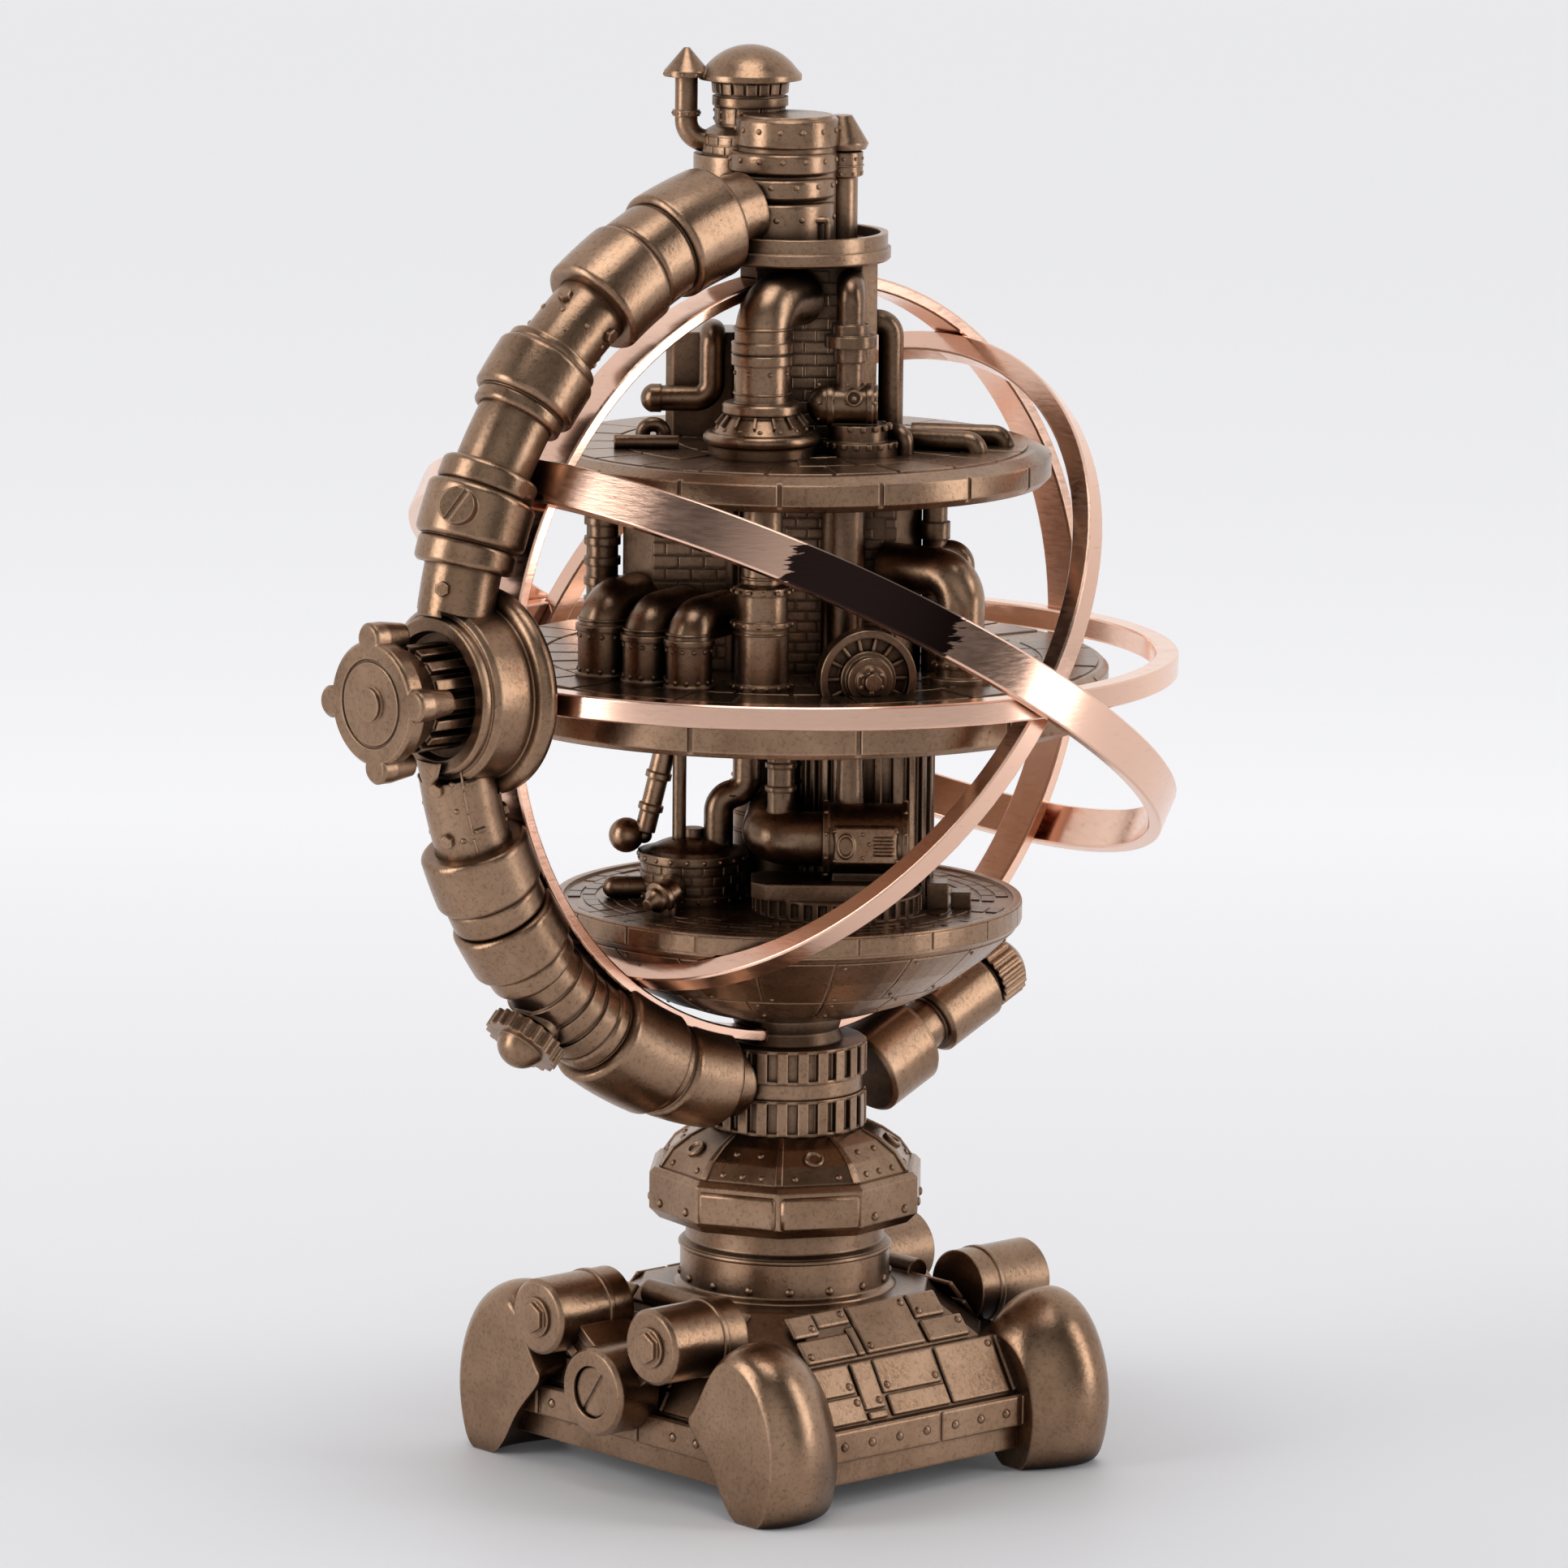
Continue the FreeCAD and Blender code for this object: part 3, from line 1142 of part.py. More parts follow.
def rounded_block(u, v, z0, z1, corner):
    """An upright block with cut corners."""
    u0, u1 = u
    v0, v1 = v
    points = [(u0 + corner, v0), (u1 - corner, v0), (u1, v0 + corner), (u1, v1 - corner),
              (u1 - corner, v1), (u0 + corner, v1), (u0, v1 - corner), (u0, v0 + corner), (u0 + corner, v0)]
    face = Part.Face(Part.makePolygon([Vector(a, b, z0) for a, b in points]))
    return face.extrude(Vector(0, 0, z1 - z0))


# ---------------------------------------------------------------------------
# bowl deck
# ---------------------------------------------------------------------------

def bowl():
    outline = [(0, BOWL_FOOT_Z), (BOWL_FOOT_R, BOWL_FOOT_Z),
               (BOWL_FLANK[0], BOWL_FLANK[1], BOWL_R - BOWL_LIP_H, BOWL_BAND_Z),
               (BOWL_R, BOWL_BAND_Z + BOWL_LIP_H), (BOWL_R, BOWL_TOP_Z + BOWL_LIP_H),
               (BOWL_R - BOWL_LIP_W, BOWL_TOP_Z + BOWL_LIP_H), (BOWL_R - BOWL_LIP_W, BOWL_TOP_Z), (0,
                   BOWL_TOP_Z)]
    return largest(turned(outline).cut(leaning_slot()).cut(meridian_slot()))


def boiler():
    """The riveted boiler: skirt, domed lid and a knob."""
    u, v = BOILER_UV
    base = BOWL_TOP_Z
    shoulder = BOILER_SHOULDER_Z
    lid_top = BOILER_TOP_Z - BOILER_KNOB_H
    outline = [(0, base), (BOILER_RING_R, base), (BOILER_RING_R, base + BOILER_RING_H),
               (BOILER_R, base + BOILER_RING_H), (BOILER_R, shoulder - BOILER_RING_H),
               (BOILER_RING_R, shoulder - BOILER_RING_H), (BOILER_RING_R, shoulder),
               (BOILER_LID_R, shoulder + MACHINE_EDGE), dome(BOILER_LID_R, shoulder + MACHINE_EDGE,
                   lid_top)]
    knob = disc(BOILER_KNOB_R, lid_top - BOILER_KNOB_H, BOILER_TOP_Z, u, v)
    return fused([turned(outline, u, v), knob])


def ribbed_tower():
    u, v = RIBBED_UV
    core = disc(RIBBED_R, BOWL_TOP_Z, DECK_Z0)
    rib = block(RIBBED_R - 1, RIBBED_R + RIB_PROUD, -RIB_W / 2, RIB_W / 2, BOWL_TOP_Z, DECK_Z0)
    tower = fused([core] + around(rib, RIB_COUNT))
    tower.translate(Vector(u, v, 0))
    return tower


def spine():
    return disc(SPINE_R, BOWL_TOP_Z, DECK_Z0, *SPINE_UV)


def bowl_towers():
    tower = ribbed_tower()
    return group([tower, largest(spine().cut(tower))])


def fluted_plinth():
    u, v = FLUTED_UV
    top = BOWL_TOP_Z + FLUTED_H
    drum = disc(FLUTED_R, BOWL_TOP_Z, top)
    flute = disc(FLUTE_R, BOWL_TOP_Z + MACHINE_EDGE, top - MACHINE_EDGE, FLUTED_R)
    drum = drum.cut(Part.makeCompound(around(flute, FLUTE_COUNT)))
    drum.translate(Vector(u, v, 0))
    slab = rounded_block(SLAB_U, SLAB_V, top, top + SLAB_H, SLAB_CORNER)
    saddle = block(CONDENSER_UV[0] + 2.0, CONDENSER_UV[0] + CONDENSER_L - 2.0, CONDENSER_UV[1] - 4.0,
                   CONDENSER_UV[1] + 4.0, top + SLAB_H, top + SLAB_H + 2.0)
    plinth = fused([drum, slab, saddle])
    plinth = plinth.cut(ribbed_tower()).cut(spine()).cut(condenser_body())
    return largest(plinth)


def condenser_z():
    return BOWL_TOP_Z + FLUTED_H + SLAB_H + CONDENSER_R + CONDENSER_GAP


def condenser_body():
    """The lying drum with its end rings."""
    ends = []
    for start in (0, CONDENSER_L - CONDENSER_RING_W):
        ends.append(disc(CONDENSER_RING_R, start, start + CONDENSER_RING_W))
    drum = fused([disc(CONDENSER_R, 0, CONDENSER_L)] + ends)
    drum.rotate(Vector(0, 0, 0), Vector(0, 1, 0), 90)
    drum.translate(Vector(CONDENSER_UV[0], CONDENSER_UV[1], condenser_z()))
    return drum


def condenser():
    u, v = TAPER_UV
    taper = Part.makeCone(TAPER_R, TAPER_TOP_R, DECK_Z0 - condenser_z(), Vector(u, v, condenser_z()))
    return largest(fused([condenser_body(), taper]).cut(ribbed_tower()))


def exhaust():
    """The elbow from the condenser's end back to the spine, and the ringed pipe above it."""
    v = CONDENSER_UV[1]
    z = condenser_z()
    end_u, end_v = EXHAUST_END
    elbow = pipe([(CONDENSER_UV[0], v, z), (EXHAUST_U, v, z), (end_u, end_v, z + EXHAUST_RISE)],
                 EXHAUST_R, EXHAUST_BEND)
    u2, v2 = RINGED_UV
    rise = disc(RINGED_R, z, DECK_Z0, u2, v2)
    step = (DECK_Z0 - z) / (RINGED_RINGS + 2)
    rings = []
    for i in range(RINGED_RINGS):
        ring_z = z + step * (i + 2)
        rings.append(disc(RINGED_RING_R, ring_z, ring_z + RINGED_RING_H, u2, v2))
    body = fused([elbow.cut(spine()), rise] + rings)
    for neighbour in (boiler(), feed_pipe(), ribbed_tower()):
        body = largest(body.cut(neighbour))
    return body


def feed_pipe():
    """The S-shaped pipe from the boiler's shoulder up to the middle deck."""
    return pipe([(FEED_U[0], FEED_V, BOILER_SHOULDER_Z), (FEED_U[0], FEED_V, FEED_Z), (FEED_U[1], FEED_V,
        FEED_Z),
                 (FEED_U[1], FEED_V, DECK_Z0)], FEED_R, FEED_BEND)


def bowl_pipes():
    """Feed pipe, boiler stack, front pipe, capsule, bins and ball lever round the boiler."""
    shell = boiler()
    feed = feed_pipe().cut(shell).cut(spine())
    stack = disc(BOILER_STACK_R, BOILER_SHOULDER_Z, DECK_Z0, *BOILER_STACK_UV).cut(shell)
    u, v = FRONT_PIPE_UV
    z = BOWL_TOP_Z + FRONT_PIPE_RISE
    front = pipe([(u, v, BOWL_TOP_Z), (u, v, z), (u + 2.0, v + 14.0, z)], FRONT_PIPE_R,
                 FRONT_PIPE_R + 0.2).cut(shell)
    bins = [block(a, a + w, b, b + d, BOWL_TOP_Z, BOWL_TOP_Z + h) for a, b, w, d, h in BIN_UV]
    return group([largest(feed), largest(stack), largest(front), capsule(shell), ball_lever()] + bins)


def capsule(shell):
    """The lying round-ended tank at the boiler's left."""
    u, v = CAPSULE_UV
    z = BOWL_TOP_Z + CAPSULE_R
    barrel = Part.makeCylinder(CAPSULE_R, CAPSULE_L, Vector(u, v, z), Vector(1, 0, 0))
    return largest(fused([barrel, Part.makeSphere(CAPSULE_R, Vector(u, v, z))]).cut(shell))


def ball_lever():
    """A cranked rod hanging from the middle deck, with a ball on its sideways link."""
    u, v = LEVER_TOP_UV
    top = Vector(u, v, DECK_Z0)
    bend = Vector(u, v, DECK_Z0 - LEVER_DROP)
    low = Vector(LEVER_LOW_U, v, LEVER_Z)
    end = Vector(LEVER_BALL_U, v, LEVER_Z)
    rods = [Part.makeCylinder(LEVER_ROD_R, (b - a).Length, a, b - a)
            for a, b in ((top, bend), (bend, low), (low, end))]
    knobs = [Part.makeSphere(LEVER_KNOB_R, bend), Part.makeSphere(LEVER_KNOB_R, low)]
    return fused(rods + knobs + [Part.makeSphere(LEVER_BALL_R, end)])


# ---------------------------------------------------------------------------
# middle deck
# ---------------------------------------------------------------------------

def deck_plate(radius, z0, z1, bevel_w, bevel_h, seams, seam_w, seam_depth):
    """A round deck with a bevelled rim crossed by seams."""
    plate = turned([(0, z0), (radius - bevel_h, z0), (radius, z0 + bevel_h), (radius, z1 - bevel_h),
                    (radius - bevel_w, z1), (0, z1)])
    seam = block(radius - seam_depth, radius + 1, -seam_w / 2, seam_w / 2, z0 - 1, z1 + 1)
    return plate.cut(Part.makeCompound(around(seam, seams)))


def mid_deck():
    plate = deck_plate(DECK_R, DECK_Z0, DECK_TOP_Z, DECK_BEVEL, DECK_BEVEL, DECK_SEAMS, DECK_SEAM_W,
                       DECK_SEAM_DEPTH)
    return plate


def upper_platform():
    return deck_plate(PLATFORM_R, PLATFORM_Z0, PLATFORM_TOP_Z, PLATFORM_BEVEL_W, PLATFORM_BEVEL_H,
                      PLATFORM_SEAMS, PLATFORM_SEAM_W, PLATFORM_SEAM_DEPTH)


def tank(u, v, radius, height):
    """An upright pipe tank that bends back towards the hall at its top."""
    ring = radius + TANK_RING_PROUD
    base = DECK_TOP_Z
    bend_z = base + height - radius
    run_u, run_v = TANK_RUN
    body = pipe([(u, v, base), (u, v, bend_z), (u + run_u, v + run_v, bend_z)], radius,
                radius + TANK_BEND_GAP)
    foot = disc(ring, base, base + TANK_RING_H, u, v)
    collar = disc(ring, base + height / 2, base + height / 2 + TANK_RING_H, u, v)
    return fused([body, foot, collar])


def mid_tanks():
    keepout = hall_walls()
    tanks = []
    for values in TANKS:
        neighbours = [keepout, mid_column(), bellows()] + tanks
        tanks.append(largest(tank(*values).cut(neighbours)))
    return group(tanks)


def mid_column():
    r = COLUMN_R
    f = COLUMN_FLANGE_R
    h = COLUMN_FLANGE_H
    outline = [(0, DECK_TOP_Z), (f, DECK_TOP_Z), (f, DECK_TOP_Z + h), (r, DECK_TOP_Z + h), (r,
        COLUMN_WAIST_Z),
               (f, COLUMN_WAIST_Z), (f, COLUMN_WAIST_Z + h), (r - 0.3, COLUMN_WAIST_Z + h),
               (r - 0.3, COLUMN_SHOULDER_Z), (r, COLUMN_SHOULDER_Z), (r, COLUMN_SHOULDER_Z + h),
               (COLUMN_NECK_R, COLUMN_SHOULDER_Z + h + 1.0), (COLUMN_NECK_R, PLATFORM_Z0), (0, PLATFORM_Z0)]
    return turned(outline, *COLUMN_UV)


def flywheel():
    rim = disc(FLYWHEEL_R, 0, FLYWHEEL_W).cut(disc(FLYWHEEL_R - FLYWHEEL_RIM_T, -1, FLYWHEEL_W + 1))
    web = disc(FLYWHEEL_R - FLYWHEEL_RIM_T / 2, 0, FLYWHEEL_WEB_W)
    bells = [disc(radius, FLYWHEEL_WEB_W / 2, FLYWHEEL_WEB_W + reach) for radius, reach in FLYWHEEL_BELLS]
    wheel = fused([rim, web] + bells)
    wheel.rotate(Vector(0, 0, 0), Vector(1, 0, 0), 90)
    wheel.rotate(Vector(0, 0, 0), Vector(0, 0, 1), FLYWHEEL_TURN)
    wheel.translate(Vector(FLYWHEEL_UV[0], FLYWHEEL_UV[1], FLYWHEEL_Z))
    floor = block(-DECK_R, DECK_R, -DECK_R, DECK_R, DECK_Z0, DECK_TOP_Z)
    return largest(wheel.cut(floor))


def hall_walls():
    main = rounded_block(HALL_U, HALL_V, DECK_TOP_Z, PLATFORM_Z0, HALL_CORNER)
    wing = rounded_block(WING_U, WING_V, DECK_TOP_Z, PLATFORM_Z0, WING_CORNER)
    return fused([main, wing])


def hall():
    """The machine hall between the decks, with a wing and three arched brackets on its left."""
    return fused([hall_walls()] + [arch(u) for u in ARCH_U])


def arch(u):
    """A quarter-round bracket from the wing's front wall out to the platform's underside."""
    ring = disc(ARCH_R, 0, ARCH_W).cut(disc(ARCH_R - ARCH_T, -1, ARCH_W + 1))
    quarter = ring.common(block(0, ARCH_R, 0, ARCH_R, -1, ARCH_W + 1))
    quarter.rotate(Vector(0, 0, 0), Vector(1, 0, 0), 90)
    quarter.rotate(Vector(0, 0, 0), Vector(0, 0, 1), 90)
    quarter.translate(Vector(u, WING_V[0] - ARCH_R + ARCH_T / 2, PLATFORM_Z0 - ARCH_R - SEAT))
    return quarter


def stack_pipe():
    return disc(STACK_R, DECK_TOP_Z, PLATFORM_Z0, *STACK_UV)


def side_pipe():
    pipe_run = disc(SIDE_PIPE_R, DECK_TOP_Z, PLATFORM_Z0, *SIDE_PIPE_UV)
    collar = disc(SIDE_COLLAR_R, SIDE_COLLAR_Z[0], SIDE_COLLAR_Z[1], *SIDE_PIPE_UV)
    u, v = SIDE_PIPE_UV
    drop = pipe([(u, v, DROP_PIPE_Z), (DROP_PIPE_U, v, DROP_PIPE_Z), (DROP_PIPE_U, v, DECK_TOP_Z)],
                DROP_PIPE_R, 3.0)
    return fused([pipe_run, collar, drop])


def bellows():
    u, v = BELLOWS_UV
    tube = disc(BELLOWS_R, DECK_TOP_Z, PLATFORM_Z0, u, v)
    pitch = (PLATFORM_Z0 - DECK_TOP_Z) / (BELLOWS_RINGS + 1)
    rings = [disc(BELLOWS_RING_R, DECK_TOP_Z + pitch * (i + 1), DECK_TOP_Z + pitch * (i + 1) + 1.6, u, v)
             for i in range(BELLOWS_RINGS)]
    return fused([tube] + rings)


def big_elbow():
    """The wide elbow from the deck up and back to the hall, with seam rings."""
    u, v = ELBOW_UV
    end_u, end_v = ELBOW_END_UV
    run = pipe([(u, v, DECK_TOP_Z), (u, v, ELBOW_Z), (end_u, end_v, ELBOW_Z)], ELBOW_R, ELBOW_BEND)
    flange = disc(ELBOW_FLANGE_R, DECK_TOP_Z, DECK_TOP_Z + ELBOW_FLANGE_H, u, v)
    seams = [disc(ELBOW_SEAM_R, DECK_TOP_Z + rise, DECK_TOP_Z + rise + ELBOW_SEAM_W, u,
                  v) for rise in ELBOW_SEAM_RISES]
    return largest(fused([run, flange] + seams).cut(hall()).cut(stack_pipe()).cut(side_pipe()))


# ---------------------------------------------------------------------------
# upper platform
# ---------------------------------------------------------------------------

def house():
    main = rounded_block(HOUSE_U, HOUSE_V, PLATFORM_TOP_Z, TRAY_Z0, HOUSE_CORNER)
    annex = rounded_block(ANNEX_U, ANNEX_V, PLATFORM_TOP_Z, ANNEX_TOP_Z, HOUSE_CORNER / 2)
    return fused([main, annex])


def upper_tower():
    """The house under the cap tray, with a slot for the meridian ring."""
    return largest(facing(house()).cut(meridian_slot()).cut(crown_keepout()))


def crown_keepout():
    """The room the arm's crown collar takes above the house."""
    last = TOP_COLLAR[-1]
    return arm_segment(last[0], last[1] + 1, last[2] + SEAT)


def funnel():
    u, v = FUNNEL_UV
    base = PLATFORM_TOP_Z
    drum_top = base + FUNNEL_DRUM_H
    torus = Part.makeTorus(FUNNEL_TORUS_MID_R, FUNNEL_TORUS_R, Vector(u, v,
        drum_top + FUNNEL_TORUS_R - 0.2))
    body = turned([(0, base), (FUNNEL_DRUM_R, base), (FUNNEL_DRUM_R, drum_top + FUNNEL_TORUS_R),
                   (FUNNEL_CONE_R, FUNNEL_CONE_Z), (FUNNEL_COLLAR_R, FUNNEL_CONE_Z + MACHINE_EDGE),
                   (FUNNEL_COLLAR_R, FUNNEL_COLLAR_Z - MACHINE_EDGE),
                   (FUNNEL_COLLAR_R - MACHINE_EDGE, FUNNEL_COLLAR_Z), (0, FUNNEL_COLLAR_Z)], u, v)
    run = pipe([(u, v, FUNNEL_CONE_Z), (u, v, FUNNEL_BEND_Z),
                (FUNNEL_END_UV[0], FUNNEL_END_UV[1], FUNNEL_BEND_Z)], FUNNEL_SHAFT_R, FUNNEL_BEND)
    bands = [disc(FUNNEL_BAND_R, base + low, base + high, u, v) for low, high in FUNNEL_BANDS]
    return largest(fused([body, torus, run] + bands).cut(house()))


def left_pipe():
    u, v = LEFT_PIPE_UV
    low, high = LEFT_PIPE_Z
    run = pipe([(u, LEFT_PIPE_BACK_V, high), (u, v, high), (u, v, low), (LEFT_PIPE_END_U, v, low)],
               LEFT_PIPE_R, LEFT_PIPE_R + 0.8)
    cap = turned([(0, 0), (LEFT_CAP_R, 0), (LEFT_CAP_R, LEFT_CAP_L / 2), dome(LEFT_CAP_R, LEFT_CAP_L / 2,
        LEFT_CAP_L)])
    cap.rotate(Vector(0, 0, 0), Vector(0, 1, 0), -90)
    cap.translate(Vector(LEFT_PIPE_END_U, v, low))
    return largest(fused([run, cap]).cut(house()))


def right_pipe():
    u, v = RIGHT_PIPE_UV
    run = pipe([(RIGHT_PIPE_END_U - 1.5, v, RIGHT_PIPE_Z), (u, v, RIGHT_PIPE_Z), (u, v, PLATFORM_TOP_Z)],
               RIGHT_PIPE_R, RIGHT_PIPE_R + 0.3)
    return run


def deck_pipes():
    """The small pipes that lie on the platform."""
    hoop = pipe([(HOOP_U[0], HOOP_V, PLATFORM_TOP_Z), (HOOP_U[0], HOOP_V, HOOP_Z), (HOOP_U[1], HOOP_V,
        HOOP_Z),
                 (HOOP_U[1], HOOP_V, PLATFORM_TOP_Z)], HOOP_R, 1.9)
    u0, u1, v = DECK_PIPE
    lying = Part.makeCylinder(DECK_PIPE_R, u1 - u0, Vector(u0, v, PLATFORM_TOP_Z + DECK_PIPE_R), Vector(1,
        0, 0))
    eu, ev = SMALL_ELBOW_UV
    small = pipe([(eu - 4.6, ev + 4.6, SMALL_ELBOW_Z), (eu, ev, SMALL_ELBOW_Z), (eu, ev, PLATFORM_TOP_Z)],
                 SMALL_ELBOW_R, 2.1)
    runs = [hoop, lying, small.cut(valve_steps()).cut(valve_body())]
    z = PLATFORM_TOP_Z + LYING_RISE
    for u0, v0, u1, v1 in LYING_PIPES:
        runs.append(pipe([(u0, v0, z), (u1, v1, z), (u1, v1, PLATFORM_TOP_Z)], LYING_R, LYING_R + 0.1))
    return [largest(run) for run in runs]


def valve_steps():
    """The two-step base of the valve boiler."""
    u, v = VALVE_UV
    z1 = PLATFORM_TOP_Z + VALVE_STEP_H[0]
    lower = disc(VALVE_STEP_R[0], PLATFORM_TOP_Z, z1, u, v)
    upper = disc(VALVE_STEP_R[1], z1, z1 + VALVE_STEP_H[1], u - 0.6, v)
    return fused([lower, upper]).cut(house())


def valve_body_z():
    return PLATFORM_TOP_Z + sum(VALVE_STEP_H) + VALVE_BODY_R - MACHINE_EDGE


def valve_body():
    u0, u1 = VALVE_BODY_U
    z = valve_body_z()
    v = VALVE_UV[1]
    barrel = Part.makeCylinder(VALVE_BODY_R, u1 - u0 - VALVE_BODY_R, Vector(u0 + VALVE_BODY_R, v, z),
                               Vector(1, 0, 0))
    nose = Part.makeSphere(VALVE_BODY_R, Vector(u0 + VALVE_BODY_R, v, z))
    bands = []
    for start in (u0 + VALVE_BODY_R, u1 - VALVE_BAND_W - 1.0):
        bands.append(Part.makeCylinder(VALVE_BAND_R, VALVE_BAND_W, Vector(start, v, z), Vector(1, 0, 0)))
    return fused([barrel, nose] + bands)


def valve_boiler():
    v = VALVE_UV[1]
    z = valve_body_z()
    run = pipe([(VALVE_NECK_U, v, z), (VALVE_NECK_U, v, VALVE_PIPE_Z), (VALVE_NECK_U, HOUSE_V[0],
        VALVE_PIPE_Z)],
               VALVE_PIPE_R, 3.6)
    flanges = []
    for low, high, radius in VALVE_FLANGES:
        flanges.append(disc(radius, PLATFORM_TOP_Z + low, PLATFORM_TOP_Z + high, VALVE_NECK_U, v))
    return largest(fused([valve_steps(), valve_body(), run] + flanges).cut(house()))


def upper_pipes():
    runs = [facing(run) for run in deck_pipes()]
    return group([crown_clear(left_pipe()), crown_clear(right_pipe().cut(house()))] + runs)


def crown_clear(shape):
    """Keep a machine out of the crown collar and the meridian ring's seat, in the sculpture's frame."""
    placed = facing(shape)
    return largest(placed.cut(meridian_slot()).cut(crown_keepout()))


# ---------------------------------------------------------------------------
# cap
# ---------------------------------------------------------------------------

def cap_tray():
    outline = [(0, TRAY_Z0), (TRAY_R - MACHINE_EDGE, TRAY_Z0), (TRAY_R, TRAY_Z0 + MACHINE_EDGE),
               (TRAY_R, TRAY_STEP_Z), (TRAY_WALL_R, TRAY_STEP_Z), (TRAY_WALL_R, TRAY_WALL_Z),
               (TRAY_WALL_R - TRAY_WALL_T, TRAY_WALL_Z), (TRAY_WALL_R - TRAY_WALL_T, TRAY_FLOOR_Z), (0,
                   TRAY_FLOOR_Z)]
    return turned(outline)


def turret_centre(u):
    """The centre of a turret band, set off in the arm's plane."""
    top_u = TURRET_BANDS[-1][3]
    return u, (u - top_u) * math.tan(math.radians(-FRONT_TURN))


def turret_solid():
    """Four rounded bands on one core, set off towards the arm as they go down."""
    bands = []
    top = TRAY_FLOOR_Z + TURRET_BANDS[-1][1]
    for low, high, radius, u in TURRET_BANDS:
        z0 = max(TRAY_FLOOR_Z + low, TRAY_FLOOR_Z)
        z1 = TRAY_FLOOR_Z + high
        e = TURRET_EDGE
        bands.append(turned([(0, z0), (radius - e, z0), (radius, z0 + e), (radius, z1 - e),
                             (radius - e * 0.3, z1 - e * 0.3, radius - e, z1), (0, z1)], *turret_centre(u)))
    centre = turret_centre(TURRET_BANDS[-1][3])
    core = disc(TURRET_CORE_R, TRAY_FLOOR_Z, top, *centre)
    lower_core = disc(TURRET_CORE_R, TRAY_FLOOR_Z, TRAY_FLOOR_Z + TURRET_BANDS[2][1],
                      *turret_centre(TURRET_BANDS[2][3]))
    lip = disc(TURRET_CORE_R - TURRET_EDGE, top, top + TURRET_TOP_LIP, *centre)
    return fused(bands + [core, lower_core, lip])


def tall_tower():
    """The domed tower grown against the turret, with its elbowed chimney."""
    f0, f1, fr = TOWER_FLANGE
    r0, r1, rr = TOWER_RING
    brim = ROOF_Z0 + ROOF_LIP_H
    outline = [(0, TRAY_FLOOR_Z), (CORBEL_R, TRAY_FLOOR_Z), (CORBEL_R, f0 - 2.0), (fr, f0), (fr, f1),
               (TOWER_LOWER_R, f1),
               (TOWER_LOWER_R, TOWER_LOWER_TOP_Z), (TOWER_R, TOWER_LOWER_TOP_Z + 1.6), (TOWER_R, r0), (rr,
                   r0),
               (rr, r1), (TOWER_R - 0.2, r1), (TOWER_R + 0.6, ROOF_Z0), (ROOF_R, ROOF_Z0), (ROOF_R, brim),
               (ROOF_SHOULDER_R, brim + ROOF_SHOULDER_H), dome(ROOF_SHOULDER_R, brim + ROOF_SHOULDER_H,
                   ROOF_TOP_Z)]
    tower = turned(outline, *TOWER_UV)
    stack = pipe([(TOWER_UV[0], CHIMNEY_V, CHIMNEY_ELBOW_Z), (CHIMNEY_U, CHIMNEY_V,
        CHIMNEY_ELBOW_Z + CHIMNEY_FALL),
                  (CHIMNEY_U, CHIMNEY_V, CHIMNEY_TOP_Z)], CHIMNEY_R, 4.2)
    collar = disc(CHIMNEY_COLLAR_R, CHIMNEY_COLLAR_Z, CHIMNEY_COLLAR_Z + CHIMNEY_COLLAR_H, CHIMNEY_U,
                  CHIMNEY_V)
    hat = turned([(0, CHIMNEY_TOP_Z), (CHIMNEY_HAT_R, CHIMNEY_TOP_Z), (CHIMNEY_HAT_R,
        CHIMNEY_TOP_Z + ROOF_LIP_H),
                  (CHIMNEY_HAT_TIP_R, CHIMNEY_TOP_Z + CHIMNEY_HAT_H), (0, CHIMNEY_TOP_Z + CHIMNEY_HAT_H)],
                 CHIMNEY_U, CHIMNEY_V)
    return fused([tower, stack, collar, hat])


def small_turret():
    """The slim turret beside the banded one, with a blunt cone for a roof."""
    low, high, band_r = SMALL_BAND
    eave = SMALL_TURRET_TOP_Z
    outline = [(0, TRAY_FLOOR_Z), (SMALL_TURRET_R, TRAY_FLOOR_Z), (SMALL_TURRET_R, low), (band_r,
        low + MACHINE_EDGE),
               (band_r, high), (SMALL_TURRET_R, high + MACHINE_EDGE), (SMALL_TURRET_R, eave),
               (SMALL_ROOF_R - MACHINE_EDGE, eave), (SMALL_ROOF_R, eave + SMALL_EAVE_H),
               (SMALL_ROOF_TOP_R, eave + SMALL_ROOF_H), (0, eave + SMALL_ROOF_H)]
    return turned(outline, *SMALL_UV)


# ---------------------------------------------------------------------------
# nodes
# ---------------------------------------------------------------------------

def feet():
    """The four feet by name, mirrored from the one at +X +Y."""
    source = foot()
    names = {}
    for flip_x, side in ((False, "right"), (True, "left")):
        for flip_y, depth in ((False, "rear"), (True, "front")):
            names["foot_" + depth + "_" + side] = mirrored(source, flip_x, flip_y)
    return names


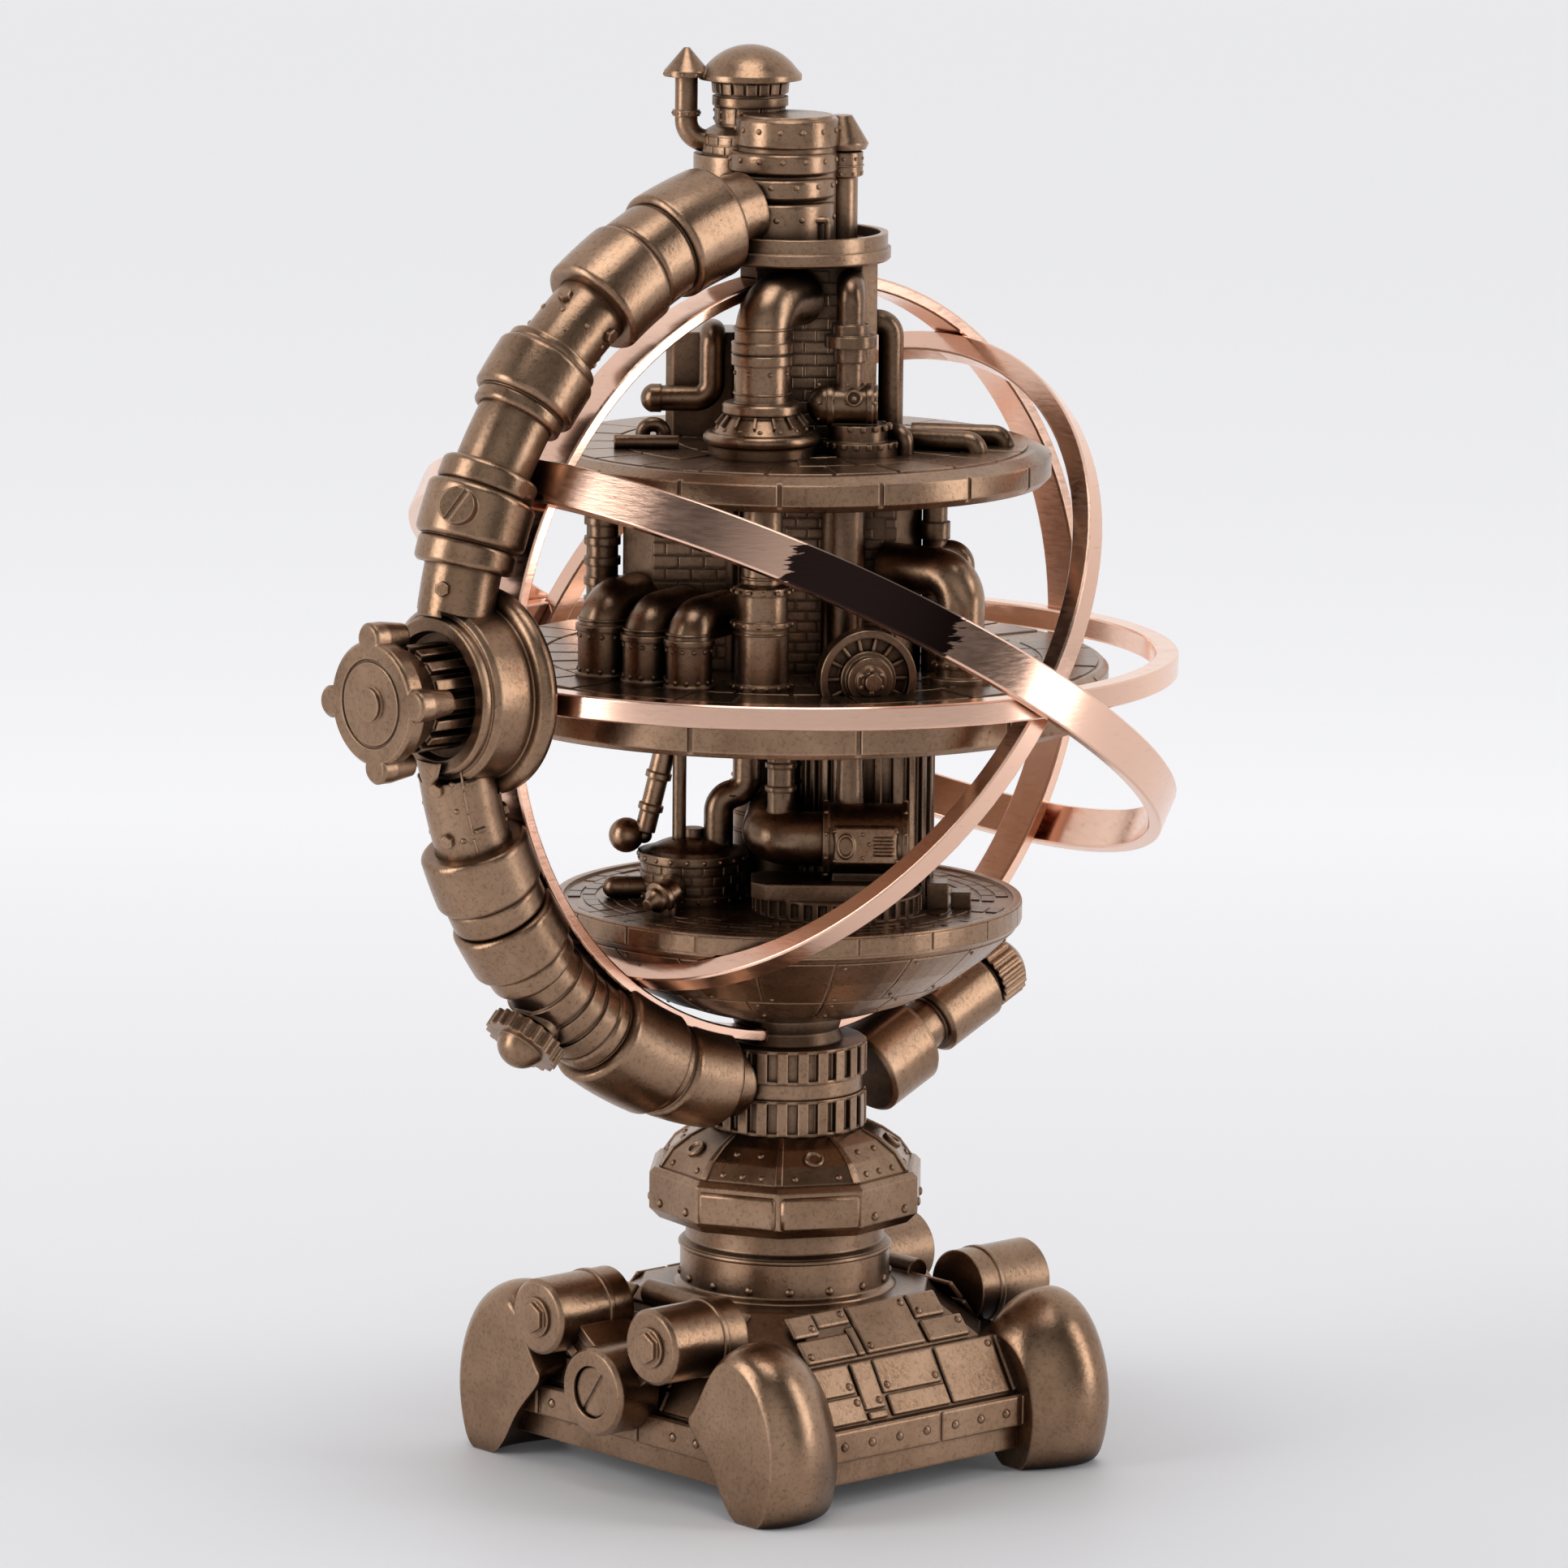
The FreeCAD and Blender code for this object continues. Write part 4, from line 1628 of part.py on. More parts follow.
def stand_nodes():
    sides = (-1, 1)
    upper = [side_drum(side, y) for side in sides for y in (-DRUM_Y, DRUM_Y)]
    feet_by_name = feet()
    solids = list(feet_by_name.values())
    nodes = {"base_plinth": base_plinth(), "lower_housing": base_lower_housing(),
             "upper_housing": base_upper_housing()}
    for name in ("base_plinth", "lower_housing", "upper_housing"):
        nodes[name] = largest(nodes[name].cut(solids[0].multiFuse(solids[1:])))
    hinge = nodes["upper_housing"]
    nodes["side_drums"] = group([drum.cut(hinge).cut(nodes["lower_housing"]) for drum in upper])
    nodes["centre_drums"] = group([centre_drum(side).cut(nodes["base_plinth"]).cut(nodes["lower_housing"])
                                   for side in sides])
    nodes["link_arms"] = group([link_arm(side, y) for side in sides for y in sides])
    nodes["hex_nuts"] = group([hex_nut(side, y) for side in sides for y in (-DRUM_Y, DRUM_Y)])
    nodes["slotted_screws"] = group([slotted_screw(side) for side in sides])
    nodes["neck_ring"] = neck_ring()
    nodes["decagon_collar"] = decagon_collar()
    nodes["dome_cover"] = sector_dome()
    nodes["lower_gear"] = lower_gear()
    nodes.update(feet_by_name)
    return nodes


def arm_nodes():
    flange = hub_profile_solid(HUB_FLANGE_R + SEAT, HUB_BACK_X - 1, HUB_BACK_X + HUB_FLANGE_W + SEAT)
    nodes = {
        "arm_pipes": group([largest(solid.cut(flange)) for solid in arm_core().Solids]),
        "crown_collar": top_collar(),
        "shoulder_collar": upper_collar(),
        "screw_collar": largest(screw_collar().cut(flange)),
        "ribbed_sleeve": ribbed_sleeve(),
        "elbow_collar": elbow_collar(),
        "hub_drum": hub_drum(),
        "short_arm": short_arm(),
        "stem_collar": stem_collar(),
        "upper_gear": upper_gear(),
        "stem_neck": stem_neck(),
        "meridian_ring": meridian_ring(),
        "leaning_ring": leaning_ring(),
        "wide_ring": wide_ring(),
        "equator_ring": equator_ring(),
        "solder_pads": solder_pads(),
    }
    first, second = lower_collars().Solids
    nodes["lower_collar"] = largest(first.cut(flange))
    nodes["middle_collar"] = second
    return nodes


def city_nodes():
    tower = upper_tower()
    turret = turret_solid()
    tower_hall = hall()
    return {
        "bowl": bowl(),
        "boiler": facing(boiler()),
        "bowl_towers": facing(bowl_towers()),
        "fluted_plinth": facing(fluted_plinth()),
        "condenser": facing(condenser()),
        "exhaust_elbow": facing(exhaust().cut(fluted_plinth()).cut(condenser())),
        "bowl_pipes": facing(bowl_pipes()),
        "mid_deck": mid_deck(),
        "mid_tanks": facing(mid_tanks()),
        "mid_column": facing(mid_column()),
        "flywheel": facing(flywheel()),
        "mid_hall": facing(tower_hall.cut(stack_pipe()).cut(side_pipe())),
        "mid_pipes": facing(group([stack_pipe(), side_pipe(), bellows()])),
        "big_elbow": facing(big_elbow()),
        "upper_platform": upper_platform(),
        "upper_tower": tower,
        "funnel": crown_clear(funnel()),
        "upper_pipes": upper_pipes(),
        "valve_boiler": crown_clear(valve_boiler()),
        "cap_tray": cap_tray(),
        "banded_turret": facing(turret),
        "tall_tower": facing(largest(tall_tower().cut(turret).cut(cap_tray()))),
        "small_turret": facing(largest(small_turret().cut(turret))),
    }


def moving_nodes():
    return {
        "hand_wheel": fused([pinion(), hand_wheel()]),
        "thumbscrew": thumbscrew(),
        "end_knob": end_knob(),
    }


def main():
    os.makedirs("parts", exist_ok=True)
    for build in (stand_nodes, arm_nodes, city_nodes, moving_nodes):
        for name, shape in build().items():
            shape.exportStep("parts/" + name + ".step")


main()
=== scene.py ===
import math
import random

import bmesh
import bpy
from mathutils import Matrix, Vector


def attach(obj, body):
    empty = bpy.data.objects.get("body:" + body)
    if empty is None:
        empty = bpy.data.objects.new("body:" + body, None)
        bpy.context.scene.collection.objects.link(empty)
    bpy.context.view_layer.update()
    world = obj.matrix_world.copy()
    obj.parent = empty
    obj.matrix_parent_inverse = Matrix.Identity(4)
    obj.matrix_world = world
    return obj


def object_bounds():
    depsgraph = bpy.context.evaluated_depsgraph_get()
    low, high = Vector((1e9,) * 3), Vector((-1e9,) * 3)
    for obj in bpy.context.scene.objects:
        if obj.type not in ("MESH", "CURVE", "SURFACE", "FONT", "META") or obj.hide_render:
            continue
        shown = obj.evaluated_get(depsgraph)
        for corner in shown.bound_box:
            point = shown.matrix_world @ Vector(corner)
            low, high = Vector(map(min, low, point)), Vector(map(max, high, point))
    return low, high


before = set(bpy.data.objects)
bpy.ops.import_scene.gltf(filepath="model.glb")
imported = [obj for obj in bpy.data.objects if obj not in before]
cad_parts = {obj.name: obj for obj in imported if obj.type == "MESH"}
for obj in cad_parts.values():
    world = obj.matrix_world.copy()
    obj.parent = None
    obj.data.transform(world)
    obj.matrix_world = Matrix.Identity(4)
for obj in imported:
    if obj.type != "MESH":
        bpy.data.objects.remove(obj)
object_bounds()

MM = 0.001
random.seed(7)

# ---------------------------------------------------------------------------
# sizes repeated from the construction, in millimetres
# ---------------------------------------------------------------------------
STRIP_HALF = 43.0
STRIP_Z = (9.5, 16.0)
LEDGE_Z = 27.0
HOUSING_TOP_Z = 36.0
LOWER_HALF = (41.0, 34.5)
UPPER_HALF = (33.0, 25.0)
NECK_R = 21.5
NECK_TOP_Z = 45.0
DECAGON_R = 28.8
DECAGON_Z = (50.7, 61.4)
DECAGON_TURN = 9.0
DECAGON_SIDES = 10
DOME = [(26.6, 61.4), (24.2, 64.9), (20.4, 67.6), (16.6, 69.4)]
ARM_Z = 169.0
ARM_R = 90.0
ARM_PIPE_R = 7.7
DECK_TOP_Z = 166.0
PLATFORM_UNDER_Z = 202.6
PLATFORM_TOP_Z = 209.6
BOWL_R = 47.5
BOWL_FOOT = (12.0, 92.4)
BOWL_FLANK = (33.0, 100.2)
BOWL_BAND = (46.9, 111.8)
BOWL_TOP_Z = 116.2
TRAY_Z0 = 247.2
TRAY_FLOOR_Z = 250.4

# the machines' places, as (u, v) or (u, v, z) of a layout that faces the photo's camera
BOILER = (-19.6, -0.8)
BOILER_R = 10.4
BOILER_RIM_R = 11.2
CONDENSER = (6.8, -17.2)
CONDENSER_LENGTH = 17.2
CONDENSER_R = 7.4
CONDENSER_RIM_R = 7.9
CONDENSER_Z = 131.4
SPINE = (-2.5, 12.5)
SPINE_R = 9.2
# u, v, radius and height of each tank
TANKS = ((-37.4, -29.6, 5.2, 19.6), (-28.6, -37.2, 4.9, 18.0), (-20.2, -44.0, 4.6, 18.2))
COLUMN = (-5.9, -42.4)
COLUMN_R = 6.0
COLUMN_RIVET_ZS = (179.3, 185.9)
ELBOW = (33.6, -31.6)
ELBOW_R = 5.3
ELBOW_RIVET_ZS = (169.9, 176.1)
FLYWHEEL = (14.4, -46.2)
FLYWHEEL_Z = 169.4
FLYWHEEL_TURN = math.radians(14.0)
FUNNEL = (-6.3, -18.6)
FUNNEL_FOOT_R = 9.2
FUNNEL_FOOT_RIVET_Z = 215.2
FUNNEL_PIPE_R = 5.7
FUNNEL_BAND_RIVET_Z = 226.4
FIN_COUNT = 14
FIN_R = 8.3
FIN_Z = 216.9
FIN_START = 0.22
FIN_LEAN = math.radians(50)
# lower left corners of the brick walls
HALL_WALL = (-8.0, -21.5, DECK_TOP_Z)
WING_WALL = (-28.0, -20.0, DECK_TOP_Z)
HOUSE_WALL = (-8.0, -7.4, PLATFORM_TOP_Z)
VALVE = (13.6, -16.4)
# radius, height above the platform and number of teeth of the valve boiler's two steps
VALVE_STEPS = ((7.3, 3.0, 18), (5.9, 6.4, 14))
# low and high above the tray's floor, radius and u of each band of the turret
TURRET_BANDS = ((-0.3, 8.9, 11.9, -4.0), (9.3, 13.7, 11.6, -3.6), (14.1, 18.7, 10.9, -2.6),
                (19.1, 25.4, 10.4, -1.8))
TURRET_AXIS_U = -1.8
TOWER = (-9.4, 9.2)
TOWER_NECK = [(7.2, 279.4), (7.5, 282.2)]
TOWER_BODY = [(7.0, 273.4), (7.0, 277.1)]
TOWER_FOOT = [(9.8, 267.6), (9.8, 271.4)]
CHIMNEY = (-22.3, 7.6)
CHIMNEY_R = 2.8
CHIMNEY_RIVET_Z = 275.6
HAT_R = 4.6
HAT_RIVET_Z = 283.5
SMALL_TURRET = (9.2, 4.4)
SMALL_TURRET_R = 4.3
SMALL_TURRET_RIVET_ZS = (264.2, 267.2)
SMALL_TURRET_BEAD = (SMALL_TURRET_R, 265.5, 266.0, 0.25)

# the photo's camera stands this many degrees round from the front, and the machines face it
CAMERA_AZIMUTH = 42.1
FRONT_TURN = math.radians(-CAMERA_AZIMUTH)


# ---------------------------------------------------------------------------
# materials: noise scales are per metre, radii and distances are in metres
# ---------------------------------------------------------------------------
CLOUD_SCALE = 70.0
GRAIN_SCALE = 1100.0
SPECK_SCALE = 1700.0
SCRATCH_SCALE = 260.0
TARNISH_SCALE = 45.0
REFLECTION_EDGE_SCALE = 420.0
REFLECTION_EDGE_DEPTH = 0.010
RUBBED_EDGE = 0.0006
RUBBED_GAIN = 1.45
# how far the painted shade in corners and gaps reaches
SHADE_REACH = 0.009
COPPER_EDGE = 0.0003
TARNISH_REACH = 0.004
TARNISH_COLOUR = (0.30, 0.10, 0.05)
# painted reflection: near-black colour and low roughness for a dark reflection painted on the wide ring
PAINTED_REFLECTION_COLOUR = (0.035, 0.020, 0.018)
PAINTED_REFLECTION_ROUGHNESS = 0.16


def node_tree(name):
    material = bpy.data.materials.new(name)
    material.use_nodes = True
    tree = material.node_tree
    tree.nodes.clear()
    out = tree.nodes.new("ShaderNodeOutputMaterial")
    shader = tree.nodes.new("ShaderNodeBsdfPrincipled")
    tree.links.new(shader.outputs[0], out.inputs[0])
    return material, tree, shader


def noise(tree, scale, detail, rough, stretch=None):
    coord = tree.nodes.new("ShaderNodeTexCoord")
    texture = tree.nodes.new("ShaderNodeTexNoise")
    texture.inputs["Scale"].default_value = scale
    texture.inputs["Detail"].default_value = detail
    texture.inputs["Roughness"].default_value = rough
    source = coord.outputs["Object"]
    if stretch:
        mapping = tree.nodes.new("ShaderNodeMapping")
        mapping.inputs["Scale"].default_value = stretch
        tree.links.new(source, mapping.inputs["Vector"])
        source = mapping.outputs[0]
    tree.links.new(source, texture.inputs["Vector"])
    return texture.outputs[0]


def ramp(tree, value, stops):
    node = tree.nodes.new("ShaderNodeValToRGB")
    elements = node.color_ramp.elements
    for i, (position, colour) in enumerate(stops):
        element = elements[i] if i < 2 else elements.new(position)
        element.position = position
        element.color = (*colour, 1.0)
    tree.links.new(value, node.inputs[0])
    return node.outputs[0]


def maths(tree, operation, a, b, clamp=False):
    node = tree.nodes.new("ShaderNodeMath")
    node.operation = operation
    node.use_clamp = clamp
    for i, value in enumerate((a, b)):
        if isinstance(value, (int, float)):
            node.inputs[i].default_value = value
        else:
            tree.links.new(value, node.inputs[i])
    return node.outputs[0]


def mix(tree, factor, a, b):
    node = tree.nodes.new("ShaderNodeMix")
    node.data_type = "RGBA"
    tree.links.new(factor, node.inputs[0])
    for slot, value in ((6, a), (7, b)):
        if isinstance(value, tuple):
            node.inputs[slot].default_value = (*value, 1.0)
        else:
            tree.links.new(value, node.inputs[slot])
    return node.outputs[2]


def grey(value):
    return (value, value, value)


def edge_mask(tree, radius):
    """A mask, bright where the surface turns sharply within the radius, and the rounded normal."""
    bevel = tree.nodes.new("ShaderNodeBevel")
    bevel.samples = 4
    bevel.inputs["Radius"].default_value = radius
    geometry = tree.nodes.new("ShaderNodeNewGeometry")
    dot = tree.nodes.new("ShaderNodeVectorMath")
    dot.operation = "DOT_PRODUCT"
    tree.links.new(bevel.outputs[0], dot.inputs[0])
    tree.links.new(geometry.outputs["Normal"], dot.inputs[1])
    return maths(tree, "SUBTRACT", 1.0, dot.outputs["Value"], True), bevel.outputs[0]


def hollow_mask(tree, distance):
    """One in the open, towards zero in corners and gaps."""
    occlusion = tree.nodes.new("ShaderNodeAmbientOcclusion")
    occlusion.samples = 6
    occlusion.inputs["Distance"].default_value = distance
    return occlusion.outputs["AO"]


def bump(tree, shader, height, strength, distance, normal):
    node = tree.nodes.new("ShaderNodeBump")
    node.inputs["Strength"].default_value = strength
    node.inputs["Distance"].default_value = distance
    tree.links.new(height, node.inputs["Height"])
    tree.links.new(normal, node.inputs["Normal"])
    tree.links.new(node.outputs[0], shader.inputs["Normal"])


def metal(tree, shader, base, rough):
    """Links a metal's colour and roughness."""
    tree.links.new(base, shader.inputs["Base Color"])
    shader.inputs["Metallic"].default_value = 1.0
    tree.links.new(rough, shader.inputs["Roughness"])


def bronze(name, light, mid, dark, polish):
    """Cast bronze: rubbed satin edges, painted shade in the hollows, fine casting grain."""
    material, tree, shader = node_tree(name)
    cloud = noise(tree, CLOUD_SCALE, 5.0, 0.62)
    grain = noise(tree, GRAIN_SCALE, 4.0, 0.7)
    speck = noise(tree, SPECK_SCALE, 2.0, 0.5)
    edge, round_normal = edge_mask(tree, RUBBED_EDGE)
    open_air = hollow_mask(tree, SHADE_REACH)
    base = ramp(tree, cloud, [(0.32, mid), (0.70, light)])
    base = mix(tree, ramp(tree, grain, [(0.50, grey(0.0)), (0.74, grey(0.45))]), base, dark)
    # painted shade: the colour darkens towards the dark tone in corners and gaps by ambient occlusion, and
    # the same mask roughens them a little
    hollow_shade = ramp(tree, open_air, [(0.22, grey(1.0)), (0.80, grey(0.0))])
    base = mix(tree, hollow_shade, base, dark)
    rubbed = ramp(tree, edge, [(0.02, grey(0.0)), (0.20, grey(1.0))])
    bright = tuple(min(1.0, channel * RUBBED_GAIN) for channel in light)
    base = mix(tree, maths(tree, "MULTIPLY", rubbed, 0.8), base, bright)
    base = mix(tree, ramp(tree, speck, [(0.70, grey(0.0)), (0.78, grey(0.8))]), base, dark)
    rough = ramp(tree, cloud, [(0.25, grey(polish)), (0.8, grey(polish + 0.10))])
    rough = maths(tree, "ADD", rough, maths(tree, "MULTIPLY", hollow_shade, 0.25), True)
    metal(tree, shader, base, rough)
    bump(tree, shader, grain, 0.16, 0.0003, round_normal)
    return material


def copper(name, colour, polish, lines, reflection_stretch=None):
    """Polished copper with fine draw marks and a few nicks; a painted dark reflection darkens one stretch,
    with ragged ends.
    """
    material, tree, shader = node_tree(name)
    cloud = noise(tree, TARNISH_SCALE, 4.0, 0.6)
    scratches = noise(tree, SCRATCH_SCALE, 5.0, 0.65, lines)
    round_normal = edge_mask(tree, COPPER_EDGE)[1]
    open_air = hollow_mask(tree, TARNISH_REACH)
    dull = tuple(channel * 0.8 for channel in colour)
    deep = tuple(channel * 0.55 for channel in colour)
    base = mix(tree, ramp(tree, cloud, [(0.3, grey(0.0)), (0.75, grey(0.30))]), colour, dull)
    base = mix(tree, ramp(tree, scratches, [(0.60, grey(0.0)), (0.76, grey(0.4))]), base, deep)
    tarnish = ramp(tree, open_air, [(0.2, grey(0.8)), (0.6, grey(0.0))])
    base = mix(tree, tarnish, base, TARNISH_COLOUR)
    rough = ramp(tree, scratches, [(0.3, grey(polish)), (0.8, grey(polish + 0.14))])
    # painted reflection: one stretch turns near-black and glossy, standing in for a dark reflection
    if reflection_stretch:
        stretch = painted_reflection_mask(tree, *reflection_stretch)
        base = mix(tree, stretch, base, PAINTED_REFLECTION_COLOUR)
        rough = mix(tree, stretch, rough, grey(PAINTED_REFLECTION_ROUGHNESS))
    metal(tree, shader, base, rough)
    bump(tree, shader, scratches, 0.08, 0.0002, round_normal)
    return material


def painted_reflection_mask(tree, centre, along, half, out):
    """One on the stretch of a ring's outer face that carries a painted dark reflection, fading in ragged
    ends.
    """
    coord = tree.nodes.new("ShaderNodeTexCoord").outputs["Object"]
    ragged_edge = noise(tree, REFLECTION_EDGE_SCALE, 3.0, 0.6, (0.4, 0.4, 3.0))
    offset = dot_with(tree, coord, along)
    offset = maths(tree, "SUBTRACT", offset, Vector(centre).dot(Vector(along)))
    offset = maths(tree, "ABSOLUTE", offset, 0.0)
    offset = maths(tree, "ADD", offset, maths(tree, "MULTIPLY", ragged_edge, REFLECTION_EDGE_DEPTH))
    near = ramp(tree, maths(tree, "DIVIDE", offset, half), [(0.97, grey(1.0)), (1.03, grey(0.0))])
    front_half = ramp(tree, dot_with(tree, coord, out), [(0.03, grey(0.0)), (0.04, grey(1.0))])
    normal = tree.nodes.new("ShaderNodeNewGeometry").outputs["True Normal"]
    outward = ramp(tree, dot_with(tree, normal, out), [(0.55, grey(0.0)), (0.65, grey(1.0))])
    return maths(tree, "MULTIPLY", near, maths(tree, "MULTIPLY", front_half, outward))


def dot_with(tree, source, direction):
    node = tree.nodes.new("ShaderNodeVectorMath")
    node.operation = "DOT_PRODUCT"
    tree.links.new(source, node.inputs[0])
    node.inputs[1].default_value = direction
    return node.outputs["Value"]


ROSE = (0.96, 0.62, 0.47)
ROSE_POLISH = 0.12
DRAWN = (1.0, 1.0, 6.0)
# the stretch of the wide ring with a painted dark reflection, in metres: centre, direction, half length,
# outward direction
PAINTED_REFLECTION_STRETCH = ((-0.0385, -0.0665, 0.1895), (0.654, -0.654, -0.385), 0.0230, (-0.50, -0.84, 0.20))

BRONZE = bronze("cast_bronze", (0.41, 0.262, 0.170), (0.27, 0.163, 0.100), (0.018, 0.010, 0.007), 0.23)
# painted shade: a darker copy of the bronze for the parts set deep inside the sculpture
SHADED_BRONZE = bronze("bronze_painted_shade", (0.28, 0.178, 0.115), (0.17, 0.102, 0.064), (0.010, 0.006, 0.004), 0.22)
COPPER = copper("rose_copper", ROSE, ROSE_POLISH, DRAWN)
# the wide ring's copper, with a dark reflection painted on one stretch
COPPER_PAINTED_REFLECTION = copper("copper_painted_reflection", ROSE, ROSE_POLISH, DRAWN, PAINTED_REFLECTION_STRETCH)
SOLDER = copper("copper_solder", (0.72, 0.40, 0.27), 0.26, (1.0, 1.0, 1.0))
RINGS = ("meridian_ring", "leaning_ring", "equator_ring")
# the parts that take the darker bronze copy as painted shade
SHADY = ("mid_hall", "upper_tower", "bowl_towers", "bowl_pipes", "mid_pipes", "fluted_plinth", "boiler",
         "condenser", "exhaust_elbow", "upper_pipes", "valve_boiler", "mid_tanks", "flywheel",
         "lower_housing", "upper_housing")


def dress(obj, material):
    obj.data.materials.clear()
    obj.data.materials.append(material)


for name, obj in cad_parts.items():
    if name in RINGS:
        dress(obj, COPPER)
    # the wide ring takes the copper with the painted dark reflection
    elif name == "wide_ring":
        dress(obj, COPPER_PAINTED_REFLECTION)
    elif name == "solder_pads":
        dress(obj, SOLDER)
    elif name in SHADY:
        dress(obj, SHADED_BRONZE)
    else:
        dress(obj, BRONZE)


# ---------------------------------------------------------------------------
# piece building, in millimetres
# ---------------------------------------------------------------------------
UPRIGHT = Vector((0, 0, 1))
SHARP_ANGLE = math.radians(38)
RIVET_SIDES = 10
RIVET_RISE = 0.62
RIVET_PROFILE = ((1.0, -0.25), (1.0, 0.15), (0.78, 0.68), (0.36, 0.96))
RIB_SINK = 0.25
RIB_ROUND = 0.35
TILE_SINK = 0.3
BRICK_GAP = 0.15
BRICK_MIN = 0.8
BRICK_LIFT = 0.3


def finish_piece(name, mesh_builder, body, material=BRONZE, smooth=True):
    mesh = bpy.data.meshes.new(name)
    mesh_builder.to_mesh(mesh)
    mesh_builder.free()
    for polygon in mesh.polygons:
        polygon.use_smooth = smooth
    obj = bpy.data.objects.new(name, mesh)
    bpy.context.scene.collection.objects.link(obj)
    dress(obj, material)
    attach(obj, body)
    if smooth:
        mesh.set_sharp_from_angle(angle=SHARP_ANGLE)


def shifted(x, y, z):
    """A move given in millimetres."""
    return Matrix.Translation(Vector((x, y, z)) * MM)


def place(position, normal):
    """A matrix whose Z is the normal, at a point given in millimetres."""
    turn = Vector(normal).to_track_quat("Z", "Y").to_matrix().to_4x4()
    return shifted(*position) @ turn


def add_rivet(builder, position, normal, radius):
    """A domed rivet head."""
    height = radius * RIVET_RISE
    matrix = place(position, normal)
    rings = []
    for r, h in RIVET_PROFILE:
        ring = []
        for i in range(RIVET_SIDES):
            a = 2 * math.pi * i / RIVET_SIDES
            point = Vector((radius * r * math.cos(a), radius * r * math.sin(a), height * h)) * MM
            ring.append(builder.verts.new(matrix @ point))
        rings.append(ring)
    top = builder.verts.new(matrix @ Vector((0, 0, height * MM)))
    for low, high in zip(rings, rings[1:]):
        for i in range(RIVET_SIDES):
            j = (i + 1) % RIVET_SIDES
            builder.faces.new((low[i], low[j], high[j], high[i]))
    for i in range(RIVET_SIDES):
        builder.faces.new((rings[-1][i], rings[-1][(i + 1) % RIVET_SIDES], top))
    builder.faces.new(list(reversed(rings[0])))


def rivets(name, body, places, radius, material=BRONZE):
    builder = bmesh.new()
    for position, normal in places:
        add_rivet(builder, position, normal, radius)
    finish_piece(name, builder, body, material)


def add_box(builder, matrix, size, bevel=0.0):
    """A box centred on the matrix, with size in millimetres."""
    stretch = Matrix.Diagonal((*(Vector(size) * MM), 1.0))
    result = bmesh.ops.create_cube(builder, size=1.0, matrix=matrix @ stretch)
    if bevel:
        edges = list({e for v in result["verts"] for e in v.link_edges})
        bmesh.ops.bevel(builder, geom=edges, offset=bevel * MM, segments=1, affect="EDGES")


def add_turned(builder, matrix, outline, sides=48):
    """A surface turned about the matrix's Z from (r, z) points in millimetres."""
    rings = []
    for r, z in outline:
        if r < 1e-6:
            rings.append([builder.verts.new(matrix @ Vector((0, 0, z * MM)))])
            continue
        ring = []
        for i in range(sides):
            a = 2 * math.pi * i / sides
            ring.append(builder.verts.new(matrix @ (Vector((r * math.cos(a), r * math.sin(a), z)) * MM)))
        rings.append(ring)
    for low, high in zip(rings, rings[1:]):
        for i in range(sides):
            j = (i + 1) % sides
            if len(low) == 1:
                builder.faces.new((low[0], high[j], high[i]))
            elif len(high) == 1:
                builder.faces.new((low[i], low[j], high[0]))
            else:
                builder.faces.new((low[i], low[j], high[j], high[i]))


def rib_outline(radius, z0, z1, proud):
    """A closed low band standing proud of a round surface."""
    edge = min(RIB_ROUND, (z1 - z0) / 2.5, proud)
    inner, outer = radius - RIB_SINK, radius + proud
    return [(inner, z0), (outer - edge, z0), (outer, z0 + edge), (outer, z1 - edge), (outer - edge, z1),
            (inner, z1), (inner, z0)]


def on_circle(count, radius, z, start=0.0, centre=(0.0, 0.0)):
    """Places round an upright circle, with outward normals."""
    result = []
    for i in range(count):
        a = start + 2 * math.pi * i / count
        direction = Vector((math.cos(a), math.sin(a), 0))
        result.append(((centre[0] + radius * math.cos(a), centre[1] + radius * math.sin(a), z), direction))
    return result


def front(u, v, z=0.0):
    """A point of the machines' layout as a point of the sculpture."""
    c, s = math.cos(FRONT_TURN), math.sin(FRONT_TURN)
    return (u * c - v * s, u * s + v * c, z)


def front_dir(u, v, z=0.0):
    return Vector(front(u, v, z)).normalized()


class Turned:
    """A turned surface: a point and normal for an angle and a distance along its (r, z) outline."""

    def __init__(self, centre, outline):
        self.centre, self.outline = centre, outline
        self.marks = [0.0]
        for p, q in zip(outline, outline[1:]):
            self.marks.append(self.marks[-1] + math.hypot(q[0] - p[0], q[1] - p[1]))
        self.length = self.marks[-1]

    def radius(self, t):
        return self.spot(t)[0]

    def spot(self, t):
        """Radius, height and the normal's outward and upward shares at a distance."""
        k = 0
        while k < len(self.outline) - 2 and t > self.marks[k + 1]:
            k += 1
        p, q = self.outline[k], self.outline[k + 1]
        length = self.marks[k + 1] - self.marks[k]
        share = (t - self.marks[k]) / length
        r, z = p[0] + (q[0] - p[0]) * share, p[1] + (q[1] - p[1]) * share
        return r, z, (q[1] - p[1]) / length, (p[0] - q[0]) / length

    def at(self, a, t):
        r, z, out, rise = self.spot(t)
        c, n = math.cos(a), math.sin(a)
        return Vector((self.centre[0] + r * c, self.centre[1] + r * n, z)), Vector((out * c, out * n, rise))


class Wall:
    """A flat surface: a point and normal for distances across and up."""

    def __init__(self, origin, across, up):
        self.origin, self.across, self.up = Vector(origin), Vector(across), Vector(up)
        self.out = self.across.cross(self.up)

    def at(self, a, t):
        return self.origin + self.across * a + self.up * t, self.out


